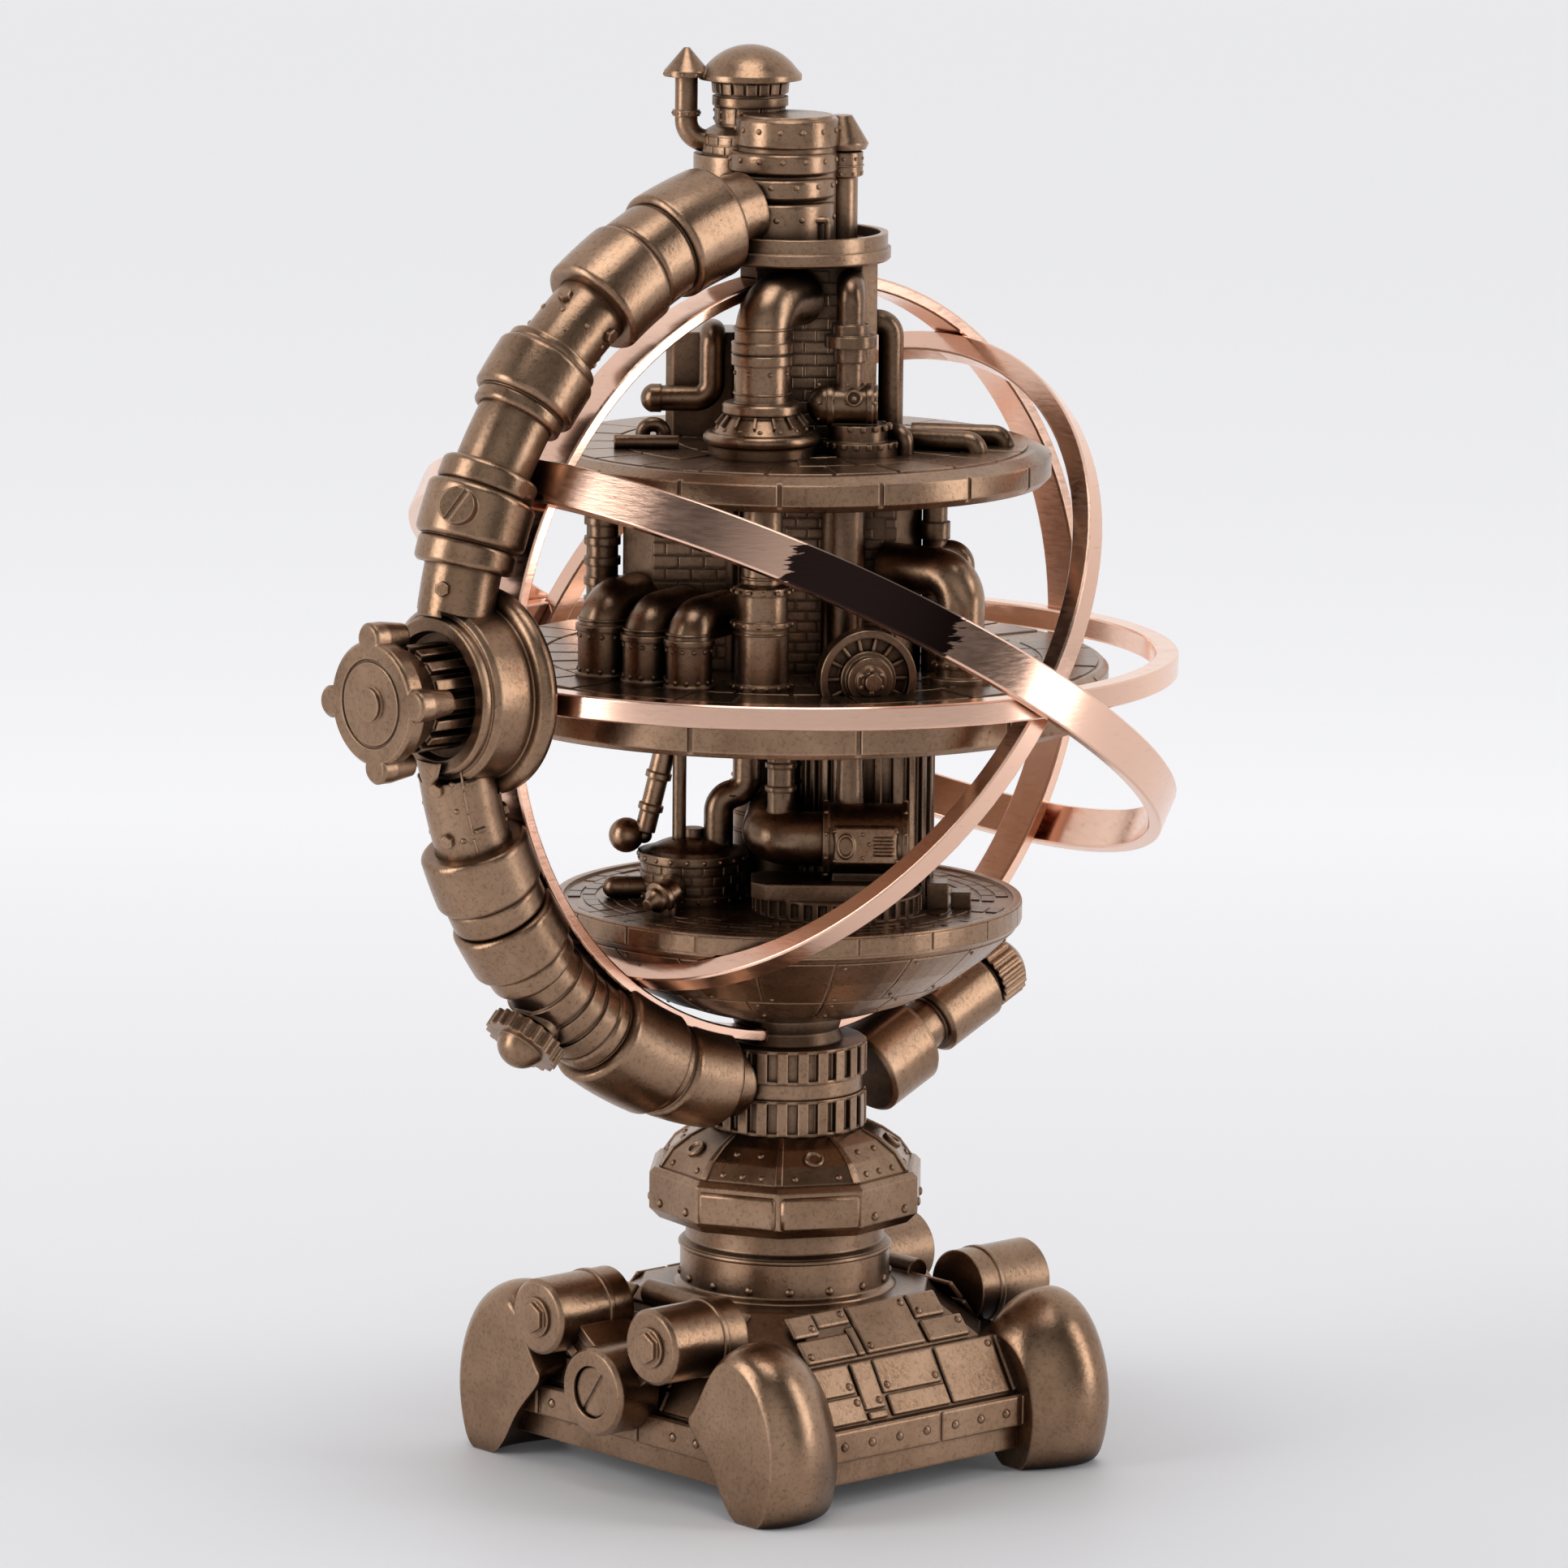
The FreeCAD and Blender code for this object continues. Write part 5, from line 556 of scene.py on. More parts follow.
def add_tile(builder, surface, a0, a1, t0, t1, lift, na=4, nt=2):
    """A raised plate that follows a surface."""
    top, low = [], []
    for i in range(na + 1):
        spots = [surface.at(a0 + (a1 - a0) * i / na, t0 + (t1 - t0) * j / nt) for j in range(nt + 1)]
        top.append([builder.verts.new((p + n * lift) * MM) for p, n in spots])
        low.append([builder.verts.new((p - n * TILE_SINK) * MM) for p, n in spots])
    for i in range(na):
        for j in range(nt):
            builder.faces.new((top[i][j], top[i + 1][j], top[i + 1][j + 1], top[i][j + 1]))
            builder.faces.new((low[i][j], low[i][j + 1], low[i + 1][j + 1], low[i + 1][j]))
        builder.faces.new((low[i][0], low[i + 1][0], top[i + 1][0], top[i][0]))
        builder.faces.new((top[i][nt], top[i + 1][nt], low[i + 1][nt], low[i][nt]))
    for j in range(nt):
        builder.faces.new((top[0][j], top[0][j + 1], low[0][j + 1], low[0][j]))
        builder.faces.new((low[na][j], low[na][j + 1], top[na][j + 1], top[na][j]))


def tiled(name, body, surface, rows, gap, lift, rivet=0.0, material=BRONZE, skip=0.0, inset=1.6):
    """Rings of plates on a turned surface: (t0, t1, count, start angle); rivets sit in their corners."""
    builder = bmesh.new()
    heads = []
    for t0, t1, count, start in rows:
        edge = gap / 2 / max(surface.radius(t0), surface.radius(t1))
        for i in range(count):
            if random.random() < skip:
                continue
            a0 = start + 2 * math.pi * i / count + edge
            a1 = start + 2 * math.pi * (i + 1) / count - edge
            rise = lift * random.uniform(0.55, 1.0)
            add_tile(builder, surface, a0, a1, t0 + gap / 2, t1 - gap / 2, rise)
            if rivet:
                for t in (t0 + inset, t1 - inset):
                    p, n = surface.at(a0 + inset / surface.radius(t), t)
                    heads.append((p + n * rise, n))
    bmesh.ops.recalc_face_normals(builder, faces=builder.faces)
    finish_piece(name, builder, body, material, smooth=False)
    if rivet:
        rivets(name + "_rivets", body, heads, rivet, material)


def bricks(name, wall, width, height, size, skip=0.12):
    """Staggered courses of bricks on a wall, with some left out."""
    builder = bmesh.new()
    long_side, tall_side = size
    courses = int(height / tall_side)
    for j in range(courses):
        u = -long_side / 2 * (j % 2)
        while u < width:
            u0, u1 = max(u, 0.0) + BRICK_GAP, min(u + long_side, width) - BRICK_GAP
            if u1 - u0 > BRICK_MIN and random.random() > skip:
                add_tile(builder, wall, u0, u1, j * tall_side + BRICK_GAP, (j + 1) * tall_side - BRICK_GAP,
                         BRICK_LIFT * random.uniform(0.5, 1.0), na=1, nt=1)
            u += long_side
    bmesh.ops.recalc_face_normals(builder, faces=builder.faces)
    finish_piece(name, builder, "frame", SHADED_BRONZE, smooth=False)


def arc_through(p0, p1, p2, steps):
    """Points along the circle through three (r, z) points."""
    ax, ay, bx, by = p1[0] - p0[0], p1[1] - p0[1], p2[0] - p0[0], p2[1] - p0[1]
    d = 2 * (ax * by - ay * bx)
    ux = (by * (ax * ax + ay * ay) - ay * (bx * bx + by * by)) / d
    uy = (ax * (bx * bx + by * by) - bx * (ax * ax + ay * ay)) / d
    cx, cy, radius = p0[0] + ux, p0[1] + uy, math.hypot(ux, uy)
    start = math.atan2(p0[1] - cy, p0[0] - cx)
    end = math.atan2(p2[1] - cy, p2[0] - cx)
    return [(cx + radius * math.cos(start + (end - start) * i / steps),
             cy + radius * math.sin(start + (end - start) * i / steps)) for i in range(steps + 1)]


def boss_ring(builder, position, normal, radius, height):
    """A small raised ring on a surface."""
    inner = radius * 0.62
    add_turned(builder, place(position, normal),
               [(radius, -0.2), (radius, height * 0.7), (radius * 0.9, height), (inner + 0.1, height),
                (inner, height * 0.5), (0.0, height * 0.5)], 24)


# ---------------------------------------------------------------------------
# stand
# ---------------------------------------------------------------------------
# plate lengths along the strip: (from, to, rivets)
STRIP_PLATES = ((-33.5, -27.2, 1), (-26.2, 3.8, 4), (4.4, 25.6, 3), (26.8, 33.5, 1))
CENTRE_DRUM_HALF = 11.0
# plates on a slope: (u0, u1, v0, v1) with v as a share of the slope, and the corners that carry a rivet
LOWER_PLATES = (((-31.5, -14.6, 0.50, 0.99), "br"), ((-29.0, -14.0, 0.03, 0.46), "tr"),
                ((-13.8, -8.2, 0.20, 0.99), "br"), ((-7.6, 8.6, 0.42, 0.99), "bl br"),
                ((-7.0, 8.8, 0.03, 0.38), ""), ((9.4, 25.2, 0.03, 0.99), "tr"),
                ((26.2, 31.5, 0.03, 0.99), "tl"), ((-13.4, -8.4, 0.03, 0.16), ""))
UPPER_PLATES = (((-23.0, -16.2, 0.56, 0.98), "br"), ((-15.8, -7.2, 0.68, 0.98), "tr"),
                ((-6.6, 9.4, 0.06, 0.98), "tr bl"), ((9.9, 18.0, 0.52, 0.98), "bl"),
                ((10.3, 21.5, 0.05, 0.46), "tr"), ((-23.0, -9.6, 0.05, 0.50), "bl"),
                ((-9.2, -7.2, 0.05, 0.60), ""))
PLATE_THICKNESS = 1.0
CORNER_INSET = 1.5
# the collar's faces that carry a raised panel
PANEL_FACES = (0, 1, 5, 6)
HALF_FACET = math.pi / DECAGON_SIDES
FACET_TURN = 360.0 / DECAGON_SIDES
SEAM_HALF_ANGLE = 0.03


def strip_detail():
    """Raised plate lengths on the strip, with one to four rivets each, clear of the centre drums."""
    places = []
    plates = bmesh.new()
    z = sum(STRIP_Z) / 2
    height = STRIP_Z[1] - STRIP_Z[0]
    for side in range(4):
        turn = Matrix.Rotation(side * math.pi / 2, 3, "Z")
        for u0, u1, count in STRIP_PLATES:
            middle = turn @ Vector(((u0 + u1) / 2, -STRIP_HALF, z))
            matrix = Matrix.Translation(middle * MM) @ turn.to_4x4()
            add_box(plates, matrix, (u1 - u0, PLATE_THICKNESS, height - 0.2), 0.3)
            for i in range(count):
                along = u0 + (u1 - u0) * (i + 0.5) / count
                if side in (1, 3) and abs(along) < CENTRE_DRUM_HALF:
                    continue
                places.append((turn @ Vector((along, -STRIP_HALF - 0.45, z)), turn @ Vector((0, -1, 0))))
    finish_piece("strip_plates", plates, "stand", smooth=False)
    rivets("strip_rivets", "stand", places, 1.0)


def slope_frame(side, z0, z1, half0, half1):
    """Origin, across, upslope and outward directions of one sloping face."""
    turn = Matrix.Rotation(side * math.pi / 2, 3, "Z")
    low = Vector((0, -half0, z0))
    high = Vector((0, -half1, z1))
    up = (high - low).normalized()
    across = Vector((1, 0, 0))
    out = across.cross(up)
    return turn @ low, turn @ across, turn @ up, turn @ out, (high - low).length


def slope_matrix(origin, across, up, out, u, v, h):
    matrix = Matrix((across, up, out)).transposed().to_4x4()
    return Matrix.Translation((origin + across * u + up * v + out * h) * MM) @ matrix


def armour():
    """Overlapping armour plates and their rivets on the housing's slopes."""
    for label, z0, z1, halves, layout in (("lower", STRIP_Z[1], LEDGE_Z, LOWER_HALF, LOWER_PLATES),
                                          ("upper", LEDGE_Z, HOUSING_TOP_Z, UPPER_HALF, UPPER_PLATES)):
        plates = bmesh.new()
        heads = []
        for side in range(4):
            origin, across, up, out, length = slope_frame(side, z0, z1, *halves)
            for (u0, u1, v0, v1), corners in layout:
                v0, v1 = v0 * length, v1 * length
                lift = random.uniform(0.12, 0.42)
                matrix = slope_matrix(origin, across, up, out, (u0 + u1) / 2, (v0 + v1) / 2, lift)
                add_box(plates, matrix, (u1 - u0, v1 - v0, PLATE_THICKNESS), 0.3)
                for corner in corners.split():
                    u = u0 + CORNER_INSET if corner[1] == "l" else u1 - CORNER_INSET
                    v = v0 + CORNER_INSET if corner[0] == "b" else v1 - CORNER_INSET
                    heads.append((origin + across * u + up * v + out * (lift + 0.48), out))
        finish_piece(label + "_armour", plates, "stand", smooth=False)
        rivets(label + "_armour_rivets", "stand", heads, 0.85)


def neck_detail():
    rivets("neck_rivets", "stand", on_circle(16, NECK_R, 38.4, 0.1), 0.9)
    builder = bmesh.new()
    add_turned(builder, Matrix.Identity(4), rib_outline(NECK_R, NECK_TOP_Z - 1.1, NECK_TOP_Z, 0.4), 64)
    finish_piece("neck_bands", builder, "stand")


def facet(i):
    """Outward and sideways directions of one of the collar's ten faces."""
    a = math.radians(DECAGON_TURN + FACET_TURN * (i + 0.5))
    return Vector((math.cos(a), math.sin(a), 0)), Vector((-math.sin(a), math.cos(a), 0))


def decagon_detail():
    """Raised panels on four of the collar's faces, and two rivets on each of the others."""
    apothem = DECAGON_R * math.cos(HALF_FACET)
    half = DECAGON_R * math.sin(HALF_FACET)
    middle = Vector((0, 0, sum(DECAGON_Z) / 2))
    panels = bmesh.new()
    heads = []
    for i in range(DECAGON_SIDES):
        out, across = facet(i)
        if i in PANEL_FACES:
            turn = Matrix((across, UPRIGHT, out)).transposed().to_4x4()
            matrix = Matrix.Translation((out * apothem + middle) * MM) @ turn
            add_box(panels, matrix, (half * 2 - 1.0, 7.0, 1.5), 0.7)
            continue
        for u in (-half * 0.55, half * 0.55):
            heads.append((out * apothem + across * u + middle - Vector((0, 0, 1.6)), out))
    finish_piece("decagon_panels", panels, "stand")
    rivets("decagon_rivets", "stand", heads, 0.95)


def on_dome(surface, i, t, u):
    """A point and normal on one flat sector of the dome, t up the slope and u across it."""
    out, across = facet(i)
    r, z, level, rise = surface.spot(t)
    point = out * (r * math.cos(HALF_FACET)) + across * u + UPRIGHT * z
    return point, out * level + UPRIGHT * rise


def dome_detail():
    """Seams, rivet rows and ring bosses on the dome's ten sectors."""
    seams, rings = bmesh.new(), bmesh.new()
    heads = []
    surface = Turned((0.0, 0.0), DOME)
    for i in range(DECAGON_SIDES):
        corner = math.radians(DECAGON_TURN + FACET_TURN * i)
        add_tile(seams, surface, corner - SEAM_HALF_ANGLE, corner + SEAM_HALF_ANGLE, 0.2,
                 surface.length - 0.2, 0.25, na=1, nt=6)
        low_row, high_row = ((-4.2, 0.0, 4.2), (-2.6, 2.6)) if i % 2 else ((-4.6, 4.6), ())
        heads += [on_dome(surface, i, 1.6, u) for u in low_row]
        heads += [on_dome(surface, i, 7.0, u) for u in high_row]
        if i % 2 == 0:
            boss_ring(rings, *on_dome(surface, i, 6.0, 0.0), 2.1, 0.8)
    bmesh.ops.recalc_face_normals(seams, faces=seams.faces)
    finish_piece("dome_seams", seams, "stand", smooth=False)
    finish_piece("dome_rings", rings, "stand")
    rivets("dome_rivets", "stand", heads, 0.7)


strip_detail()
armour()
neck_detail()
decagon_detail()
dome_detail()


# ---------------------------------------------------------------------------
# arm
# ---------------------------------------------------------------------------
# nuts on the pipe: (angle, spins); clips: (angle, size, turn); spins turn from straight outwards to the front
ARM_NUTS = ((11.9, (0.45, -1.7)), (50.4, (0.2, 1.9)), (-11.8, (0.3, -1.7)), (-18.2, (0.3, -1.7, 2.9)))
NUT_LIFT = 0.35
SEAM_SIZE = (0.4, 0.5, 4.6)
SEAM_END_SIZE = (0.4, 0.5, 3.2)
CLIP_SIZE = (0.9, 2.4, 0.8)
CLIP_TURN = 0.22
ARM_CLIPS = ((-10.6, SEAM_SIZE, 0.0), (-13.6, SEAM_SIZE, 0.0), (-16.6, SEAM_SIZE, 0.0),
             (-19.4, SEAM_END_SIZE, 0.0), (-11.4, CLIP_SIZE, CLIP_TURN), (-17.6, CLIP_SIZE, CLIP_TURN))
CLIP_SPINS = (1.0, 4.1)
UPPER_RIVET_ROWS = ((48.6, 8, 0.4), (46.6, 4, 0.8))
LOWER_RIVET_ROWS = (-11.2, -14.6, -18.4)
LOWER_RIVET_SPINS = (0.72, 2.3, 3.9, 5.4)


def arm_matrix(angle):
    """A matrix on the arm's centre line at an angle from -X: Z runs along it, X away from the C's centre."""
    a = math.radians(angle)
    out = Vector((-math.cos(a), 0, math.sin(a)))
    along = Vector((math.sin(a), 0, math.cos(a)))
    centre = out * ARM_R + UPRIGHT * ARM_Z
    matrix = Matrix((out, along.cross(out), along)).transposed().to_4x4()
    return Matrix.Translation(centre * MM) @ matrix


def on_arm(angle, radius, spin):
    """A point and normal on the arm's skin; spin turns from straight outwards towards the front."""
    matrix = arm_matrix(angle)
    local = Vector((math.cos(spin), math.sin(spin), 0))
    return matrix @ (local * radius * MM) / MM, matrix.to_3x3() @ local


def arm_rivets():
    heads = []
    for angle, count, start in UPPER_RIVET_ROWS:
        heads += [on_arm(angle, ARM_PIPE_R, start + 2 * math.pi * k / count) for k in range(count)]
    for angle in LOWER_RIVET_ROWS:
        heads += [on_arm(angle, ARM_PIPE_R, spin) for spin in LOWER_RIVET_SPINS]
    rivets("arm_rivets", "frame", heads, 0.6)


def arm_nuts():
    """Hex nuts on the pipe by the hub and below the crown, and the clips and seam of its lower length."""
    nuts, clips = bmesh.new(), bmesh.new()
    for angle, spins in ARM_NUTS:
        for spin in spins:
            matrix = place(*on_arm(angle, ARM_PIPE_R + NUT_LIFT, spin))
            bmesh.ops.create_cone(nuts, cap_ends=True, segments=6, radius1=1.6 * MM, radius2=1.5 * MM,
                                  depth=1.4 * MM, matrix=matrix)
    for spin in CLIP_SPINS:
        for angle, size, swing in ARM_CLIPS:
            turn = Matrix.Rotation(spin + swing, 4, "Z")
            add_box(clips, arm_matrix(angle) @ turn @ shifted(ARM_PIPE_R, 0, 0), size, 0.1)
    finish_piece("arm_nuts", nuts, "frame", smooth=False)
    finish_piece("arm_clips", clips, "frame", smooth=False)


arm_rivets()
arm_nuts()


# ---------------------------------------------------------------------------
# decks
# ---------------------------------------------------------------------------
PLANK_SINK = 0.05


def planks(name, radius, z, sectors, rings, inner, material=SHADED_BRONZE):
    """Thin raised planks laid in rings on a round deck."""
    surface = Turned((0.0, 0.0), [(radius, z - PLANK_SINK), (inner, z - PLANK_SINK)])
    step = (radius - inner) / rings
    rows = [(step * k, step * (k + 1), sectors - 4 * k, random.uniform(0, 0.5)) for k in range(rings)]
    tiled(name, "frame", surface, rows, 0.9, 0.45, material=material, skip=0.08)


def bowl_detail():
    """Riveted plates round the bowl's flank, its rim band and the planks of its deck."""
    arc = arc_through(BOWL_FOOT, BOWL_FLANK, BOWL_BAND, 24)
    surface = Turned((0.0, 0.0), arc)
    foot, belt, rim = (surface.length * share for share in (0.36, 0.60, 0.985))
    tiled("bowl_plates", "frame", surface, ((foot, belt, 14, 0.15), (belt, rim, 18, 0.0)), 0.55, 0.32, 0.42)
    band = Turned((0.0, 0.0), [(BOWL_R, BOWL_BAND[1] + 0.8), (BOWL_R, BOWL_TOP_Z + 0.4)])
    tiled("bowl_band", "frame", band, ((0.0, band.length, 18, 0.09),), 0.5, 0.3)
    floor_plates = Turned((0.0, 0.0), [(45.2, BOWL_TOP_Z - PLANK_SINK), (27.0, BOWL_TOP_Z - PLANK_SINK)])
    rows = [(3.0 * k, 3.0 * (k + 1), 46 - 3 * k, 0.07 * (k % 2)) for k in range(6)]
    tiled("bowl_planks", "frame", floor_plates, rows, 0.5, 0.35, material=SHADED_BRONZE, skip=0.25)


planks("platform_planks", 47.8, PLATFORM_TOP_Z, 22, 3, 12.0, BRONZE)
planks("deck_planks", 62.8, DECK_TOP_Z, 32, 4, 14.0)
bowl_detail()


# ---------------------------------------------------------------------------
# machines
# ---------------------------------------------------------------------------
# beads as (radius, z0, z1, proud), and turned pieces as (r, z) outlines
COLUMN_BEADS = ((3.9, 188.2, 188.9, 0.3), (5.4, 177.2, 177.8, 0.25))
FUNNEL_BEADS = ((FUNNEL_PIPE_R, 222.0, 222.5, 0.25), (FUNNEL_PIPE_R, 235.0, 235.6, 0.35))
PORT_OUTLINE = [(2.6, -0.2), (2.6, 0.6), (2.2, 0.9), (1.8, 0.6), (1.8, 0.2), (0.0, 0.2)]
# rivets round the port, as moves along the condenser and up from its middle
PORT_RIVETS = ((-0.6, 2.4), (-0.6, -2.4), (0.7, 0.4), (-6.2, 3.0), (-6.2, -3.0), (6.2, 3.0), (6.2, -3.0))
LEVER_BEND = (-25.2, 1.0, 147.4)
LEVER_FOOT = (-29.6, 1.0, 128.6)
LEVER_BALL = (-33.2, 1.0, 128.6)
BALL_R = 3.6
BALL_STEPS = 12
NOZZLE = (-24.8, -20.4, 120.2)
NOZZLE_OUTLINE = [(0.0, -2.0), (2.9, -2.0), (2.9, 0.6), (3.4, 0.8), (3.4, 2.0), (2.7, 2.2), (2.5, 3.4),
                  (1.4, 4.4), (1.2, 5.4), (0.0, 5.6)]
VALVE_WHEEL = (12.0, -20.5, 221.6)
VALVE_WHEEL_OUTLINE = [(1.7, 0.0), (1.7, 0.8), (1.3, 1.0), (1.1, 0.7), (1.1, 0.2), (0.5, 0.2), (0.5, 1.4),
                       (0.0, 1.5)]
BRACKET = (6.4, -10.2, TRAY_FLOOR_Z + 3.0)


def ring_rivets(name, centre, radius, zs, count, size=0.5, material=BRONZE):
    """Rows of rivets round an upright machine, each row turned by chance."""
    places = []
    for z in zs:
        places += on_circle(count, radius, z, random.uniform(0, 1), centre)
    rivets(name, "frame", places, size, material)


def beads(name, centre, bands, material=BRONZE):
    """Raised bands round an upright machine: (radius, z0, z1, proud)."""
    builder = bmesh.new()
    for radius, z0, z1, proud in bands:
        add_turned(builder, shifted(centre[0], centre[1], 0), rib_outline(radius, z0, z1, proud))
    finish_piece(name, builder, "frame", material)


def turn_matrix(u, v, z, across=(1, 0)):
    """A matrix at a point of the machines' layout, with Z out of the front and X along the layout's U."""
    right = front_dir(*across)
    out = front_dir(across[1], -across[0])
    matrix = Matrix((right, UPRIGHT, out)).transposed().to_4x4()
    return shifted(*front(u, v, z)) @ matrix


def front_wall(u, v, z):
    """A wall that faces the photo's camera, from its lower left corner."""
    return Wall(front(u, v, z), front_dir(1, 0), UPRIGHT)


def box_ring(builder, matrix, count, reach, size, bevel=0.2, start=0.0):
    """Boxes in a ring round the matrix's Z, each moved by reach; start is a share of one step."""
    for i in range(count):
        turn = Matrix.Rotation(2 * math.pi * (i + start) / count, 4, "Z")
        add_box(builder, matrix @ turn @ shifted(*reach), size, bevel)


def mid_deck_detail():
    column = front(*COLUMN)
    ring_rivets("column_rivets", column, COLUMN_R, COLUMN_RIVET_ZS, 12, 0.55)
    ring_rivets("column_foot_rivets", column, COLUMN_R, (DECK_TOP_Z + 0.9,), 14, 0.55)
    beads("column_beads", column, COLUMN_BEADS)
    for i, (u, v, r, height) in enumerate(TANKS, 1):
        centre = front(u, v)
        low, middle = DECK_TOP_Z + 1.9, DECK_TOP_Z + height / 2
        ring_rivets(f"tank_rivets_{i}", centre, r, (low, middle - 1.0), 12, 0.5, SHADED_BRONZE)
        beads(f"tank_bead_{i}", centre, ((r, middle + 2.0, middle + 2.5, 0.2),), SHADED_BRONZE)
    ring_rivets("elbow_rivets", front(*ELBOW), ELBOW_R, ELBOW_RIVET_ZS, 12)
    ribs = bmesh.new()
    wheel = turn_matrix(*FLYWHEEL, FLYWHEEL_Z, (math.cos(FLYWHEEL_TURN), math.sin(FLYWHEEL_TURN)))
    box_ring(ribs, wheel, 14, (6.9, 0, 2.3), (2.9, 0.8, 1.2))
    box_ring(ribs, wheel, 6, (2.3, 0, 6.0), (0.9, 0.9, 1.4), start=0.5)
    finish_piece("flywheel_ribs", ribs, "frame", smooth=False)
    height = PLATFORM_UNDER_Z - DECK_TOP_Z - 0.3
    bricks("hall_bricks", front_wall(*HALL_WALL), 29.0, height, (4.4, 2.1))
    bricks("wing_bricks", front_wall(*WING_WALL), 15.0, height, (5.2, 2.6))


def boiler_detail():
    """Brickwork round the boiler and the rivets on its rims."""
    boiler = front(*BOILER)
    shell = Turned(boiler, [(BOILER_R, BOWL_TOP_Z + 1.9), (BOILER_R, BOWL_TOP_Z + 7.9)])
    rows = [(2.0 * k, 2.0 * (k + 1), 15, 0.2 * (k % 2)) for k in range(3)]
    tiled("boiler_bricks", "frame", shell, rows, 0.3, 0.25, material=SHADED_BRONZE)
    ring_rivets("boiler_rivets", boiler, BOILER_RIM_R, (BOWL_TOP_Z + 8.9,), 20)
    ring_rivets("boiler_foot_rivets", boiler, BOILER_RIM_R, (BOWL_TOP_Z + 0.9,), 20, 0.45)


def condenser_detail():
    """The condenser's port with its oval window and slots, and the rivets round it and on the rims."""
    u, v = CONDENSER
    middle = u + CONDENSER_LENGTH / 2
    face = CONDENSER_R + 0.4
    port = bmesh.new()
    box = turn_matrix(middle, v, CONDENSER_Z)
    add_box(port, box @ shifted(0, 0, CONDENSER_R - 1.2), (CONDENSER_LENGTH - 4.0, 8.0, 3.2), 0.6)
    oval = Matrix.Diagonal((0.72, 1.0, 1.0, 1.0))
    add_turned(port, box @ shifted(-4.0, 0, face) @ oval, PORT_OUTLINE, 28)
    for k in range(3):
        add_box(port, box @ shifted(3.6, 1.5 - 1.5 * k, face), (4.2, 0.8, 1.0), 0.25)
    finish_piece("condenser_port", port, "frame", smooth=False)
    heads = []
    out = front_dir(0, -1)
    for start in (0.6, CONDENSER_LENGTH - 0.6):
        centre = Vector(front(u + start, v, CONDENSER_Z))
        for k in range(10):
            a = 2 * math.pi * (k + 0.5) / 10
            direction = out * math.cos(a) + UPRIGHT * math.sin(a)
            heads.append((centre + direction * CONDENSER_RIM_R, direction))
    for du, dz in PORT_RIVETS:
        heads.append((Vector(front(middle + du, v, CONDENSER_Z + dz)) + out * face, out))
    rivets("condenser_rivets", "frame", heads, 0.45)


def lever_and_nozzle():
    """The jacket and ball of the hanging lever, and the boiler's nozzle."""
    lever = bmesh.new()
    foot = Vector(front(*LEVER_FOOT))
    rise = Vector(front(*LEVER_BEND)) - foot
    reach = rise.length
    jacket = [(0.0, 1.0), (2.1, 1.0), (2.1, 5.2), (2.6, 5.4), (2.6, 6.6), (2.1, 6.8), (2.1, 12.0),
              (2.7, 12.2), (2.7, 13.4), (2.3, 13.6), (2.3, reach + 2.0), (0.0, reach + 3.0)]
    add_turned(lever, place(foot, rise), jacket, 28)
    angles = [math.pi * k / BALL_STEPS for k in range(BALL_STEPS + 1)]
    ball = [(BALL_R * math.sin(a), -BALL_R * math.cos(a)) for a in angles]
    ball[0], ball[-1] = (0.0, -BALL_R), (0.0, BALL_R)
    add_turned(lever, place(front(*LEVER_BALL), UPRIGHT), ball, 32)
    finish_piece("lever_jacket", lever, "frame")
    nozzle = bmesh.new()
    add_turned(nozzle, place(front(*NOZZLE), front_dir(-0.7, -0.7, -0.3)), NOZZLE_OUTLINE, 28)
    finish_piece("boiler_nozzle", nozzle, "frame")


def spine_bands():
    """Bands round the tall drum at the back of the bowl's deck."""
    trim = bmesh.new()
    for k in range(7):
        matrix = shifted(*front(*SPINE, BOWL_TOP_Z + 12.0 + 3.6 * k))
        add_turned(trim, matrix, rib_outline(SPINE_R, 0, 0.9, 0.35), 40)
    finish_piece("spine_bands", trim, "frame", SHADED_BRONZE)


